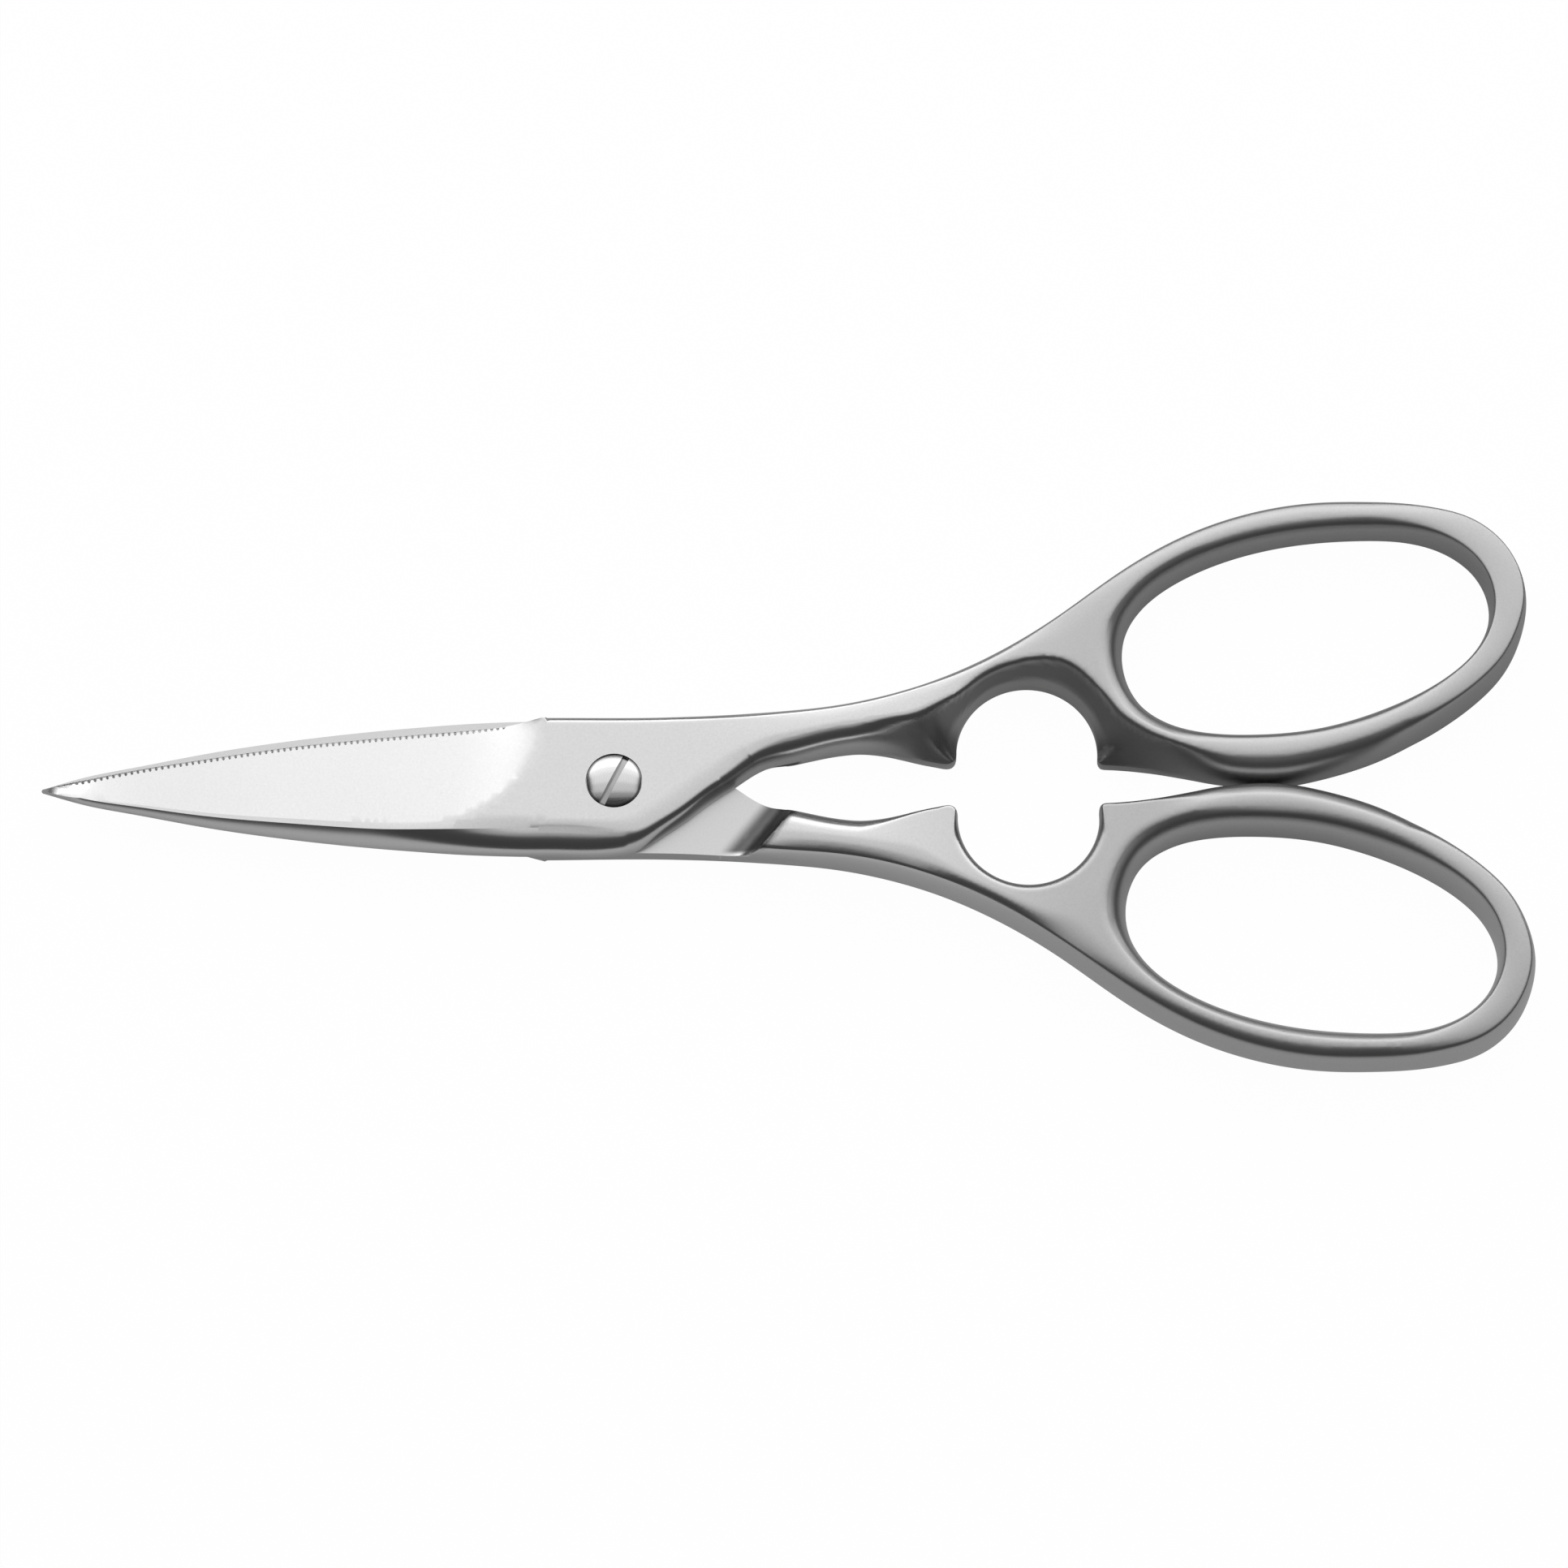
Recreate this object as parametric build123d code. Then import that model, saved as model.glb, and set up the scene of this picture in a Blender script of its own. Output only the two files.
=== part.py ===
from build123d import *
import os

# Kitchen shears, closed and lying flat. Both halves are the same forging: the rear one is the
# front one turned half a turn about the long axis. Millimetres.
# While a half is made, X runs along the shears with 0 at the pivot and the tip at minus X,
# Y is outward with 0 on the long axis, and Z is 0 on the plane where the blades meet.

# Main sizes
BLADE_REACH = 80.8
HANDLE_REACH = 129.0
HALF_SPAN = 41.6
RICASSO_REACH = 9.8
RICASSO_THICKNESS = 3.8
HANDLE_HALF_THICKNESS = 5.2
BOW_FAR_HALF_THICKNESS = 3.9
BLADE_GAP = 0.02

# Ricasso, seen from the front: its cutting side is up and its spine side is down
RICASSO_TOP = 9.6
SPINE_AT_RICASSO = 10.0

# Blade bevels
BEVEL_WIDTH = 1.1
SPINE_BEVEL_WIDTH = 2.1
SPINE_BEVEL_HEIGHT = 2.4

# Serration of the front blade
TOOTH_PITCH = 0.86
TOOTH_RADIUS = 0.33
TOOTH_DEPTH = 0.2
SERRATION_START = 16.0
SERRATION_END = 78.5

# Cap gripper: a round bite with lugs either side, thinned by a slope on the front
GRIP_RADIUS = 9.95
GRIP_CENTRE_X = 58.2
GRIP_CENTRE_Y = 5.7
LUG_EDGE_DEPTH = 3.3

# Shoulder where the forging steps from one blade's thickness to the full handle
SHOULDER_FOOT_X = 18.0
SHOULDER_FOOT_Y = 6.3
SHOULDER_ANGLE = 39.2
COVE_RADIUS = 4.2

# Rise of the faces from the ricasso to the shank
RAMP_START = 11.0
RAMP_END = 42.0
FLAT_SPAN = 13.5

# Edge rounding
HANDLE_ROUNDING = 1.7

# Pivot hardware
HEAD_DIAMETER = 7.65
HEAD_HEIGHT = 1.3
HEAD_DOME = 0.6
HEAD_CLEARANCE = 0.15
SLOT_WIDTH = 0.95
SLOT_DEPTH = 1.1
SLOT_ANGLE = 63.0
WASHER_THICKNESS = 0.4
WASHER_CLEARANCE = 0.08
SHANK_DIAMETER = 5.0
THREAD_DIAMETER = 4.2
SHANK_CLEARANCE = 0.03
NUT_DIAMETER = 7.6
NUT_HEIGHT = 2.0
NUT_SINK = 0.15
NUT_SLOT_WIDTH = 1.0
NUT_SLOT_DEPTH = 0.6
NUT_CLEARANCE = 0.03
SCREW_END_SINK = 0.2

# One overrun serves every cut
OVERRUN = 6.0

# Outline from the cutting side of the ricasso, round the bow and back along the axis side to
# the neck, as shares of HANDLE_REACH and of HALF_SPAN
OUTLINE_SHARES = [
    (0.179, 0.255), (0.251, 0.280), (0.341, 0.3515), (0.411, 0.4475),
    (0.4825, 0.5835), (0.553, 0.7455), (0.6235, 0.8755), (0.6945, 0.957), (0.7645, 0.9955),
    (0.818, 1.0), (0.870, 0.9905), (0.9055, 0.970), (0.941, 0.9315), (0.977, 0.8385),
    (0.994, 0.740), (1.0, 0.6345), (0.994, 0.531), (0.9765, 0.4155), (0.9405, 0.2975),
    (0.905, 0.215), (0.8695, 0.148), (0.8345, 0.0935), (0.799, 0.0535), (0.7635, 0.0235),
    (0.736, 0.007), (0.698, 0.0025), (0.658, 0.0175), (0.6235, 0.0465), (0.589, 0.074),
    (0.552, 0.088), (0.450, 0.095), (0.3585, 0.0985), (0.305, 0.1285), (0.2685, 0.130),
    (0.233, 0.115), (0.1975, 0.0895), (0.1625, 0.0605), (0.132, 0.0),
]

# Where the outline leaves the ricasso: shares of HANDLE_REACH, then of RICASSO_TOP on the
# cutting side and of SPINE_AT_RICASSO down the neck to the spine side
CUTTING_SIDE_SHARE = (0.0735, 1.005)
NECK_SHARES = [(0.1053, 0.23), (0.080, 0.484), (0.054, 0.715), (0.0294, 0.915), (0.0, 1.0)]
HOLE_SHARES = [
    (0.556, 0.4615), (0.561, 0.548), (0.5865, 0.665), (0.622, 0.744), (0.6935, 0.8335),
    (0.764, 0.875), (0.818, 0.8855), (0.871, 0.8785), (0.907, 0.849), (0.943, 0.767),
    (0.9595, 0.625), (0.9435, 0.4655), (0.908, 0.3605), (0.8715, 0.296), (0.836, 0.249),
    (0.765, 0.185), (0.694, 0.166), (0.622, 0.1915), (0.576, 0.277), (0.560, 0.3705),
]

# The lug slope: its lower edge follows the gripper bite and its upper edge is this crease,
# in the same shares. The first and last points lie beside the body, where the slope fades.
LUG_FADE_LOW_SHARES = [(0.29, 0.095), (0.635, 0.02)]
LUG_FADE_HIGH_SHARES = [(0.28, 0.115), (0.64, 0.025)]
LUG_CREASE_SHARES = [
    (0.3435, 0.231), (0.372, 0.281), (0.3975, 0.3315), (0.4235, 0.375), (0.448, 0.406),
    (0.4735, 0.418), (0.4905, 0.4085), (0.508, 0.3775), (0.5255, 0.317), (0.559, 0.1945),
]

# Blade stations from the tip: share of BLADE_REACH from the pivot, then shares of
# SPINE_AT_RICASSO for the spine and of RICASSO_TOP for the cutting edge, then shares of
# RICASSO_THICKNESS for the spine side and the edge side, and how far the flat beside the
# ricasso reaches from the spine bevel towards the edge
BLADE_SHARES = [
    (0.9985, 0.022, 0.020, 0.19, 0.10, 0.06),
    (0.993, 0.040, 0.040, 0.20, 0.11, 0.06),
    (0.965, 0.108, 0.098, 0.25, 0.12, 0.06),
    (0.920, 0.212, 0.180, 0.29, 0.14, 0.06),
    (0.845, 0.336, 0.308, 0.36, 0.16, 0.06),
    (0.720, 0.535, 0.480, 0.51, 0.17, 0.06),
    (0.570, 0.725, 0.665, 0.73, 0.18, 0.06),
    (0.420, 0.865, 0.795, 0.88, 0.19, 0.06),
    (0.340, 0.922, 0.855, 0.96, 0.19, 0.06),
    (0.250, 0.974, 0.915, 1.00, 0.22, 0.18),
    (0.195, 0.992, 0.955, 1.00, 0.38, 0.36),
    (0.150, 1.000, 0.980, 1.00, 0.72, 0.61),
]
RICASSO_FLAT_SHARE = 0.9

# Both bevels narrow towards the tip where the blade's own share falls below these
SPINE_FADE_SHARE = 0.4
EDGE_FADE_SHARE = 0.25


def at(share):
    return (share[0] * HANDLE_REACH, share[1] * HALF_SPAN)


def slab(face, low, high):
    return extrude(Pos(0, 0, low) * face, amount=high - low)


def handle_blank():
    """Everything behind the blade at full thickness, with the finger hole through it."""
    start = (-RICASSO_REACH, RICASSO_TOP)
    finish = (-RICASSO_REACH, -SPINE_AT_RICASSO)
    cutting_side = (CUTTING_SIDE_SHARE[0] * HANDLE_REACH, CUTTING_SIDE_SHARE[1] * RICASSO_TOP)
    neck = [(x * HANDLE_REACH, -y * SPINE_AT_RICASSO) for x, y in NECK_SHARES]
    points = [start, cutting_side, *[at(s) for s in OUTLINE_SHARES], *neck, finish]
    edge = Spline(*points, tangents=[(1, 0), (-1, 0)])
    outer = make_face([edge, Line(finish, start)])
    hole = make_face(Spline(*[at(s) for s in HOLE_SHARES], periodic=True))
    return slab(outer - hole, -HANDLE_HALF_THICKNESS - OVERRUN, HANDLE_HALF_THICKNESS + OVERRUN)


def side_envelope():
    """Seen from the side the faces rise from the ricasso to the shank."""
    low = RICASSO_THICKNESS
    high = HANDLE_HALF_THICKNESS
    start = (-RICASSO_REACH - OVERRUN, low)
    ramp_start = (RAMP_START, low)
    ramp_end = (RAMP_END, high)
    far = (HANDLE_REACH + OVERRUN, high)
    ramp = Spline(ramp_start, ramp_end, tangents=[(1, 0), (1, 0)])
    top = [Line(start, ramp_start), ramp, Line(ramp_end, far)]
    under = [mirror(line, about=Plane.XZ) for line in top]
    ends = [Line(far, (far[0], -far[1])), Line(start, (start[0], -start[1]))]
    face = make_face(top + under + ends)
    return extrude(Plane.XZ * face, amount=HALF_SPAN + OVERRUN, both=True)


def end_envelope():
    """Seen from the end the faces are flat near the axis and fall towards the bow's far side."""
    inner = (-SPINE_AT_RICASSO - OVERRUN, HANDLE_HALF_THICKNESS)
    knee = (FLAT_SPAN, HANDLE_HALF_THICKNESS)
    outer = (HALF_SPAN + HANDLE_ROUNDING, BOW_FAR_HALF_THICKNESS)
    top = [Line(inner, knee), TangentArc(knee, outer, tangent=(1, 0))]
    under = [mirror(line, about=Plane.XZ) for line in top]
    ends = [Line(outer, (outer[0], -outer[1])), Line(inner, (inner[0], -inner[1]))]
    face = make_face(top + under + ends)
    return extrude(Plane.YZ * face, amount=HANDLE_REACH + OVERRUN, both=True)


def long_edges(body):
    """The edges round the top and the bottom, without the short ones at the blade end."""
    upright = [e for e in body.edges() if abs(e.tangent_at(0.5).Z) > 0.9]
    at_blade = body.faces().sort_by(Axis.X)[0].edges()
    return [e for e in body.edges() if e not in upright and e not in at_blade]


def shoulder_cutter():
    """Clears the space below the blade plane for the other half, up to a concave shoulder."""
    floor = BLADE_GAP
    deep = -HANDLE_HALF_THICKNESS - OVERRUN
    back = -SHOULDER_FOOT_X - RICASSO_REACH - 2 * OVERRUN
    cove_start = (0, floor)
    cove_end = (COVE_RADIUS, floor - COVE_RADIUS)
    lines = [
        Line((back, floor), cove_start),
        TangentArc(cove_start, cove_end, tangent=(1, 0)),
        Line(cove_end, (COVE_RADIUS, deep)),
        Line((COVE_RADIUS, deep), (back, deep)),
        Line((back, deep), (back, floor)),
    ]
    cutter = extrude(Plane.XZ * make_face(lines), amount=HALF_SPAN, both=True)
    return Pos(SHOULDER_FOOT_X, SHOULDER_FOOT_Y) * Rot(0, 0, SHOULDER_ANGLE) * cutter


def grip_cutter():
    bite = Pos(GRIP_CENTRE_X, GRIP_CENTRE_Y) * Circle(GRIP_RADIUS)
    reach = HANDLE_HALF_THICKNESS + OVERRUN
    return slab(bite, -reach, reach)


def lug_slope_cutter():
    """Thins the lugs and the rim of the bite by a slope that falls from the crease to the edge."""
    lug_y = LUG_FADE_LOW_SHARES[0][1] * HALF_SPAN
    low_left = at(LUG_FADE_LOW_SHARES[0])
    low_right = at(LUG_FADE_LOW_SHARES[1])
    high_left = at(LUG_FADE_HIGH_SHARES[0])
    high_right = at(LUG_FADE_HIGH_SHARES[1])
    bite_left = (GRIP_CENTRE_X - GRIP_RADIUS, lug_y)
    bite_right = (GRIP_CENTRE_X + GRIP_RADIUS, lug_y)
    bite_top = (GRIP_CENTRE_X, GRIP_CENTRE_Y + GRIP_RADIUS)
    crease = [at(s) for s in LUG_CREASE_SHARES]
    low = [
        Line(low_left, bite_left),
        ThreePointArc(bite_left, bite_top, bite_right),
        Line(bite_right, low_right),
        Line(low_right, (low_right[0], -HALF_SPAN)),
        Line((low_right[0], -HALF_SPAN), (low_left[0], -HALF_SPAN)),
        Line((low_left[0], -HALF_SPAN), low_left),
    ]
    high = [
        Line(high_left, crease[0]),
        Spline(*crease),
        Line(crease[-1], high_right),
        Line(high_right, (high_right[0], -HALF_SPAN)),
        Line((high_right[0], -HALF_SPAN), (high_left[0], -HALF_SPAN)),
        Line((high_left[0], -HALF_SPAN), high_left),
    ]
    low_face = Pos(0, 0, -LUG_EDGE_DEPTH) * make_face(low)
    high_face = Pos(0, 0, HANDLE_HALF_THICKNESS) * make_face(high)
    return loft([low_face, high_face], ruled=True)


def blade_section(station):
    x_share, spine_share, edge_share, back_share, thin_share, flat_share = station
    spine = -spine_share * SPINE_AT_RICASSO
    edge = edge_share * RICASSO_TOP
    back = back_share * RICASSO_THICKNESS
    thin = thin_share * RICASSO_THICKNESS
    narrowing = min(1.0, spine_share / SPINE_FADE_SHARE)
    crease = spine + SPINE_BEVEL_WIDTH * back_share * narrowing
    wall = back - SPINE_BEVEL_HEIGHT * back_share
    bevel_top = edge - BEVEL_WIDTH * min(1.0, edge_share / EDGE_FADE_SHARE)
    flat_y = crease + flat_share * (bevel_top - crease)
    flat_z = back if back_share >= 1.0 else back + flat_share * (thin - back)
    edge_side = [(edge, BLADE_GAP), (bevel_top, thin), (flat_y, flat_z)]
    spine_side = [(crease, back), (spine, wall), (spine, BLADE_GAP)]
    section = make_face(Polyline(*edge_side, *spine_side, close=True))
    return Plane.YZ.offset(-x_share * BLADE_REACH) * section


def ricasso_section():
    top = RICASSO_TOP
    back = RICASSO_THICKNESS
    spine = -SPINE_AT_RICASSO
    crease = spine + SPINE_BEVEL_WIDTH
    flat_y = crease + RICASSO_FLAT_SHARE * (top - crease)
    wall = back - SPINE_BEVEL_HEIGHT
    edge_side = [(top, BLADE_GAP), (top, back), (flat_y, back)]
    spine_side = [(crease, back), (spine, wall), (spine, BLADE_GAP)]
    section = make_face(Polyline(*edge_side, *spine_side, close=True))
    return Plane.YZ.offset(-RICASSO_REACH) * section


def blade():
    return loft([blade_section(s) for s in BLADE_SHARES] + [ricasso_section()], ruled=True)


def along(x, column):
    """A blade measure at a distance x in front of the pivot, read between the stations."""
    rows = [(s[0] * BLADE_REACH, s[column]) for s in BLADE_SHARES]
    for far, near in zip(rows, rows[1:]):
        if near[0] <= x <= far[0]:
            part = (x - near[0]) / (far[0] - near[0])
            return near[1] + part * (far[1] - near[1])
    return rows[0][1]


def serration():
    """Round grooves ground across the cutting bevel, one after another along the edge."""
    grooves = []
    for index in range(int((SERRATION_END - SERRATION_START) / TOOTH_PITCH)):
        x = SERRATION_START + index * TOOTH_PITCH
        edge = along(x, 2) * RICASSO_TOP
        top = edge - BEVEL_WIDTH * min(1.0, along(x, 2) / EDGE_FADE_SHARE)
        high = along(x, 4) * RICASSO_THICKNESS
        slope = Vector(0, top - edge, high - BLADE_GAP).normalized()
        outward = Vector(0, slope.Z, -slope.Y)
        centre = Vector(-x, edge, BLADE_GAP) + outward * (TOOTH_RADIUS - TOOTH_DEPTH)
        plane = Plane(origin=centre - slope * BEVEL_WIDTH, z_dir=slope)
        grooves.append(extrude(plane * Circle(TOOTH_RADIUS), amount=2 * BEVEL_WIDTH + high))
    return grooves


def forging():
    """One half before its pivot holes are cut, in its own frame."""
    blank = handle_blank() & side_envelope() & end_envelope()
    body = fillet(long_edges(blank), HANDLE_ROUNDING)
    body = body - shoulder_cutter() - grip_cutter() - lug_slope_cutter()
    return body + blade()


def drill(diameter, low, high):
    return Pos(0, 0, low) * extrude(Circle(diameter / 2), amount=high - low)


def front_half(blank):
    """Turns on the screw's shank. Its head and washer sit in a counterbore."""
    floor = RICASSO_THICKNESS - HEAD_HEIGHT - WASHER_THICKNESS
    deep = HANDLE_HALF_THICKNESS
    half = blank - drill(SHANK_DIAMETER + 2 * SHANK_CLEARANCE, -deep, deep)
    half -= drill(HEAD_DIAMETER + 2 * HEAD_CLEARANCE, floor, deep)
    return half - serration()


def rear_half(blank):
    """The same forging turned over, with a recess in its back face for the nut."""
    deep = HANDLE_HALF_THICKNESS
    seat = RICASSO_THICKNESS - NUT_SINK - NUT_HEIGHT
    half = Rot(180, 0, 0) * blank
    half -= drill(SHANK_DIAMETER + 2 * SHANK_CLEARANCE, -deep, deep)
    return half - drill(NUT_DIAMETER + 2 * NUT_CLEARANCE, -deep, -seat)


def pivot_screw():
    """Domed head with one slot, a plain shank through both halves and an end for the nut."""
    under = RICASSO_THICKNESS - HEAD_HEIGHT
    nut_top = NUT_SINK + NUT_HEIGHT - RICASSO_THICKNESS
    tip = SCREW_END_SINK + NUT_SINK - RICASSO_THICKNESS
    crown = RICASSO_THICKNESS + HEAD_DOME
    rim = (HEAD_DIAMETER / 2, RICASSO_THICKNESS)
    dome_mid = (HEAD_DIAMETER / 4, RICASSO_THICKNESS + 3 * HEAD_DOME / 4)
    dome = ThreePointArc((0, crown), dome_mid, rim)
    side = Polyline(
        rim,
        (HEAD_DIAMETER / 2, under),
        (SHANK_DIAMETER / 2, under),
        (SHANK_DIAMETER / 2, nut_top),
        (THREAD_DIAMETER / 2, nut_top),
        (THREAD_DIAMETER / 2, tip),
        (0, tip),
        (0, crown),
    )
    turned = revolve(Plane.XZ * make_face([dome, side]), axis=Axis.Z)
    slot = Pos(0, 0, crown) * Rot(0, 0, SLOT_ANGLE) * Box(2 * HEAD_DIAMETER, SLOT_WIDTH, 2 * SLOT_DEPTH)
    return turned - slot


def friction_washer():
    low = RICASSO_THICKNESS - HEAD_HEIGHT - WASHER_THICKNESS
    ring = Circle(HEAD_DIAMETER / 2) - Circle(SHANK_DIAMETER / 2 + WASHER_CLEARANCE)
    return extrude(Pos(0, 0, low) * ring, amount=WASHER_THICKNESS)


def pivot_nut():
    """Round nut, slotted across its outer face to hold it while the screw is set."""
    outer = NUT_SINK - RICASSO_THICKNESS
    ring = Circle(NUT_DIAMETER / 2) - Circle(THREAD_DIAMETER / 2 + NUT_CLEARANCE)
    body = extrude(Pos(0, 0, outer) * ring, amount=NUT_HEIGHT)
    return body - Pos(0, 0, outer) * Box(2 * NUT_DIAMETER, NUT_SLOT_WIDTH, 2 * NUT_SLOT_DEPTH)


def to_frame(piece):
    """Shifts a piece so that the origin is under the middle of the whole part, on the rest plane."""
    middle = (HANDLE_REACH - BLADE_REACH) / 2
    return Pos(-middle, 0, HANDLE_HALF_THICKNESS) * piece


def build():
    blank = forging()
    pieces = {
        "front_half": front_half(blank),
        "rear_half": rear_half(blank),
        "pivot_screw": pivot_screw(),
        "friction_washer": friction_washer(),
        "pivot_nut": pivot_nut(),
    }
    os.makedirs("parts", exist_ok=True)
    for name, piece in pieces.items():
        export_step(to_frame(piece.solids()[0]), "parts/" + name + ".step")


build()
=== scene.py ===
import math

import bpy
import numpy as np
from mathutils import Matrix, Vector
from mathutils.geometry import delaunay_2d_cdt
from numpy.linalg import norm

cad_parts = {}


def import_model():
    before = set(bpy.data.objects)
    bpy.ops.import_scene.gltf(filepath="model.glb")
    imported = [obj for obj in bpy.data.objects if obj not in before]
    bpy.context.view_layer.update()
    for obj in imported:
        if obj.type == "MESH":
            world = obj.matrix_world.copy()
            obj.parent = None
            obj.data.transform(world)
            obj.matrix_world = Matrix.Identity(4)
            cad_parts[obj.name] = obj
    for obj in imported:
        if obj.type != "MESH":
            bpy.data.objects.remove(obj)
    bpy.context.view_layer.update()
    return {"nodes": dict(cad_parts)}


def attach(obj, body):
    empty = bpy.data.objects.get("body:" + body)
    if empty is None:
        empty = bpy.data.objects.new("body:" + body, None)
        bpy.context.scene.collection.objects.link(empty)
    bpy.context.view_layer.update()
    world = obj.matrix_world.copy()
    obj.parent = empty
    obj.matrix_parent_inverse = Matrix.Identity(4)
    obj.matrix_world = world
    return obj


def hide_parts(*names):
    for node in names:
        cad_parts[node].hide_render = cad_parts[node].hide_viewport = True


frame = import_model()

# Sizes of the shears in millimetres. A half is made in its forging's own frame: X along the
# shears with 0 at the pivot and the tip at minus X, Y outward from the long axis, Z 0 where
# the blades meet. The front is +Z.
MM = 0.001
BLADE_REACH = 80.8
HANDLE_REACH = 129.0
HALF_SPAN = 41.6
RICASSO_REACH = 9.8
RICASSO_THICKNESS = 3.8
RICASSO_TOP = 9.6
SPINE_AT_RICASSO = 10.0
HALF_THICKNESS = 5.2
FAR_DROP = 1.3
FLAT_SPAN = 13.5
RAMP = (11.0, 42.0)
BLADE_GAP = 0.02
SPINE_BEVEL_WIDTH = 2.1
TIP = (-80.65, 0.0)
TIP_LENGTH, TIP_HALF_WIDTH = 0.2, 0.3

# Serrated edge of the front blade
TOOTH_PITCH = 0.86
TEETH = (-78.8, -15.6)
NOTCH_SHARE = 0.56
NOTCH_REACH = 0.42
NOTCH_DEPTH = 0.14
EDGE_WIDTH = 0.32
EDGE_HEIGHT_SHARE, THIN_SPAN = 0.55, (-22, -10)

# Cap gripper and its lugs
GRIP_CENTRE = (58.2, 5.7)
GRIP_RADIUS = 9.95
LUG_CORNER_NEAR, LUG_CORNER_FAR = 2.0, 1.2
LUG_CORNER_Y = 2.9
LUG_EDGE_Z = -2.0
LUG_ROUNDING = 0.5
LUG_BAND = 1.2
LUGS_BEGIN, LUGS_END = (33, 44), (74, 88)
LUGS_TOP = 19

# Cove that clears the other half's blade
SHOULDER_FOOT = (18.0, 6.3)
SHOULDER_ANGLE = math.radians(39.2)
SHOULDER_NORMAL = np.array([math.cos(SHOULDER_ANGLE), math.sin(SHOULDER_ANGLE)])
COVE_RADIUS = 4.2
COVE_STEEPNESS = 8
COVE_SOFTNESS = 0.5
COVE_REACH = 9

# Pivot
HEAD_DIAMETER = 7.65
HEAD_CLEARANCE = 0.15
SHANK_BORE = 5.06
SCREW_SEAT_Z = 2.1
SLOT_WIDTH = 0.95
SLOT_ANGLE = math.radians(63.0)
NUT_RECESS_DIAMETER = 7.66
NUT_SEAT_Z = 1.65

# Steps of the meshes
WALL_ROWS = 9
PIVOT_SIDES = 96
LOOP_STEP = 0.42
FINE_STEP = 0.16
SPINE_STEP = 0.5
TIP_STEP = 0.08
POINTS_PER_TOOTH = 10
LATTICE_STEP = 0.5
BLADE_LATTICE_STEP = 1.2
LATTICE_START, BLADE_SIDE = 0.2, 12
GRIND_STEP = 0.7
COVE_STEP = 0.3
INNER_ROWS, INNER_ROWS_START = (0.3, 0.65), -RICASSO_REACH - 2
ROW_GAP = 0.3
LINE_JUMP = 1.2
LINE_MARGIN, LATTICE_MARGIN = 0.12, 0.18
POINT_GAP = 0.22
WELD_GAP = 0.00001

# Places with finer steps and with sharp creases
TIP_AREA_END = -78
COVE_AREA_X, COVE_AREA_Y = (11, 27), (-1, 12)
LUG_AREA = 2.0
GRIND_END = -72
GRIND_CREASE_END = -36
SHARP_MARGIN = 0.4
SHARP_FACE_END = 12

# The outline from the shoulder round the bow and the lugs to the neck
OUTLINE_SHARES = [
    (0.179, 0.255), (0.251, 0.280), (0.341, 0.3515), (0.411, 0.4475),
    (0.4825, 0.5835), (0.553, 0.7455), (0.6235, 0.8755), (0.6945, 0.957), (0.7645, 0.9955),
    (0.818, 1.0), (0.870, 0.9905), (0.9055, 0.970), (0.941, 0.9315), (0.977, 0.8385),
    (0.994, 0.740), (1.0, 0.6345), (0.994, 0.531), (0.9765, 0.4155), (0.9405, 0.2975),
    (0.905, 0.215), (0.8695, 0.148), (0.8345, 0.0935), (0.799, 0.0535), (0.7635, 0.0235),
    (0.736, 0.007), (0.698, 0.0025), (0.658, 0.0175), (0.6235, 0.0465), (0.589, 0.074),
    (0.552, 0.088), (0.450, 0.095), (0.3585, 0.0985), (0.305, 0.1285), (0.2685, 0.130),
    (0.233, 0.115), (0.1975, 0.0895), (0.1625, 0.0605), (0.132, 0.0),
]
CUTTING_SIDE_SHARE = (0.0735, 1.005)
NECK_SHARES = [(0.1053, 0.23), (0.080, 0.484), (0.054, 0.715), (0.0294, 0.915), (0.0, 1.0)]
HOLE_SHARES = [
    (0.556, 0.4615), (0.561, 0.548), (0.5865, 0.665), (0.622, 0.744), (0.6935, 0.8335),
    (0.764, 0.875), (0.818, 0.8855), (0.871, 0.8785), (0.907, 0.849), (0.943, 0.767),
    (0.9595, 0.625), (0.9435, 0.4655), (0.908, 0.3605), (0.8715, 0.296), (0.836, 0.249),
    (0.765, 0.185), (0.694, 0.166), (0.622, 0.1915), (0.576, 0.277), (0.560, 0.3705),
]

# Blade from the tip: share of BLADE_REACH, of SPINE_AT_RICASSO, of RICASSO_TOP, then of
# RICASSO_THICKNESS at the spine and at the cutting bevel, and how far the ricasso's flat
# reaches from the spine towards the edge
BLADE_SHARES = [
    (0.9985, 0.022, 0.020, 0.19, 0.10, 0.06),
    (0.993, 0.040, 0.040, 0.20, 0.11, 0.06),
    (0.965, 0.108, 0.098, 0.25, 0.12, 0.06),
    (0.920, 0.212, 0.180, 0.29, 0.14, 0.06),
    (0.845, 0.336, 0.308, 0.36, 0.16, 0.06),
    (0.720, 0.535, 0.480, 0.51, 0.17, 0.06),
    (0.570, 0.725, 0.665, 0.73, 0.18, 0.06),
    (0.420, 0.865, 0.795, 0.88, 0.19, 0.06),
    (0.340, 0.922, 0.855, 0.96, 0.19, 0.06),
    (0.250, 0.974, 0.915, 1.00, 0.22, 0.18),
    (0.195, 0.992, 0.955, 1.00, 0.38, 0.36),
    (0.150, 1.000, 0.980, 1.00, 0.72, 0.61),
    (0.1213, 1.000, 1.000, 1.00, 1.00, 0.90),
]
BLADE_X, BLADE_SPINE, BLADE_EDGE, BLADE_BACK, BLADE_THIN, BLADE_FLAT = map(list, zip(*BLADE_SHARES))
BLADE_X = [-share * BLADE_REACH for share in BLADE_X]

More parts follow.
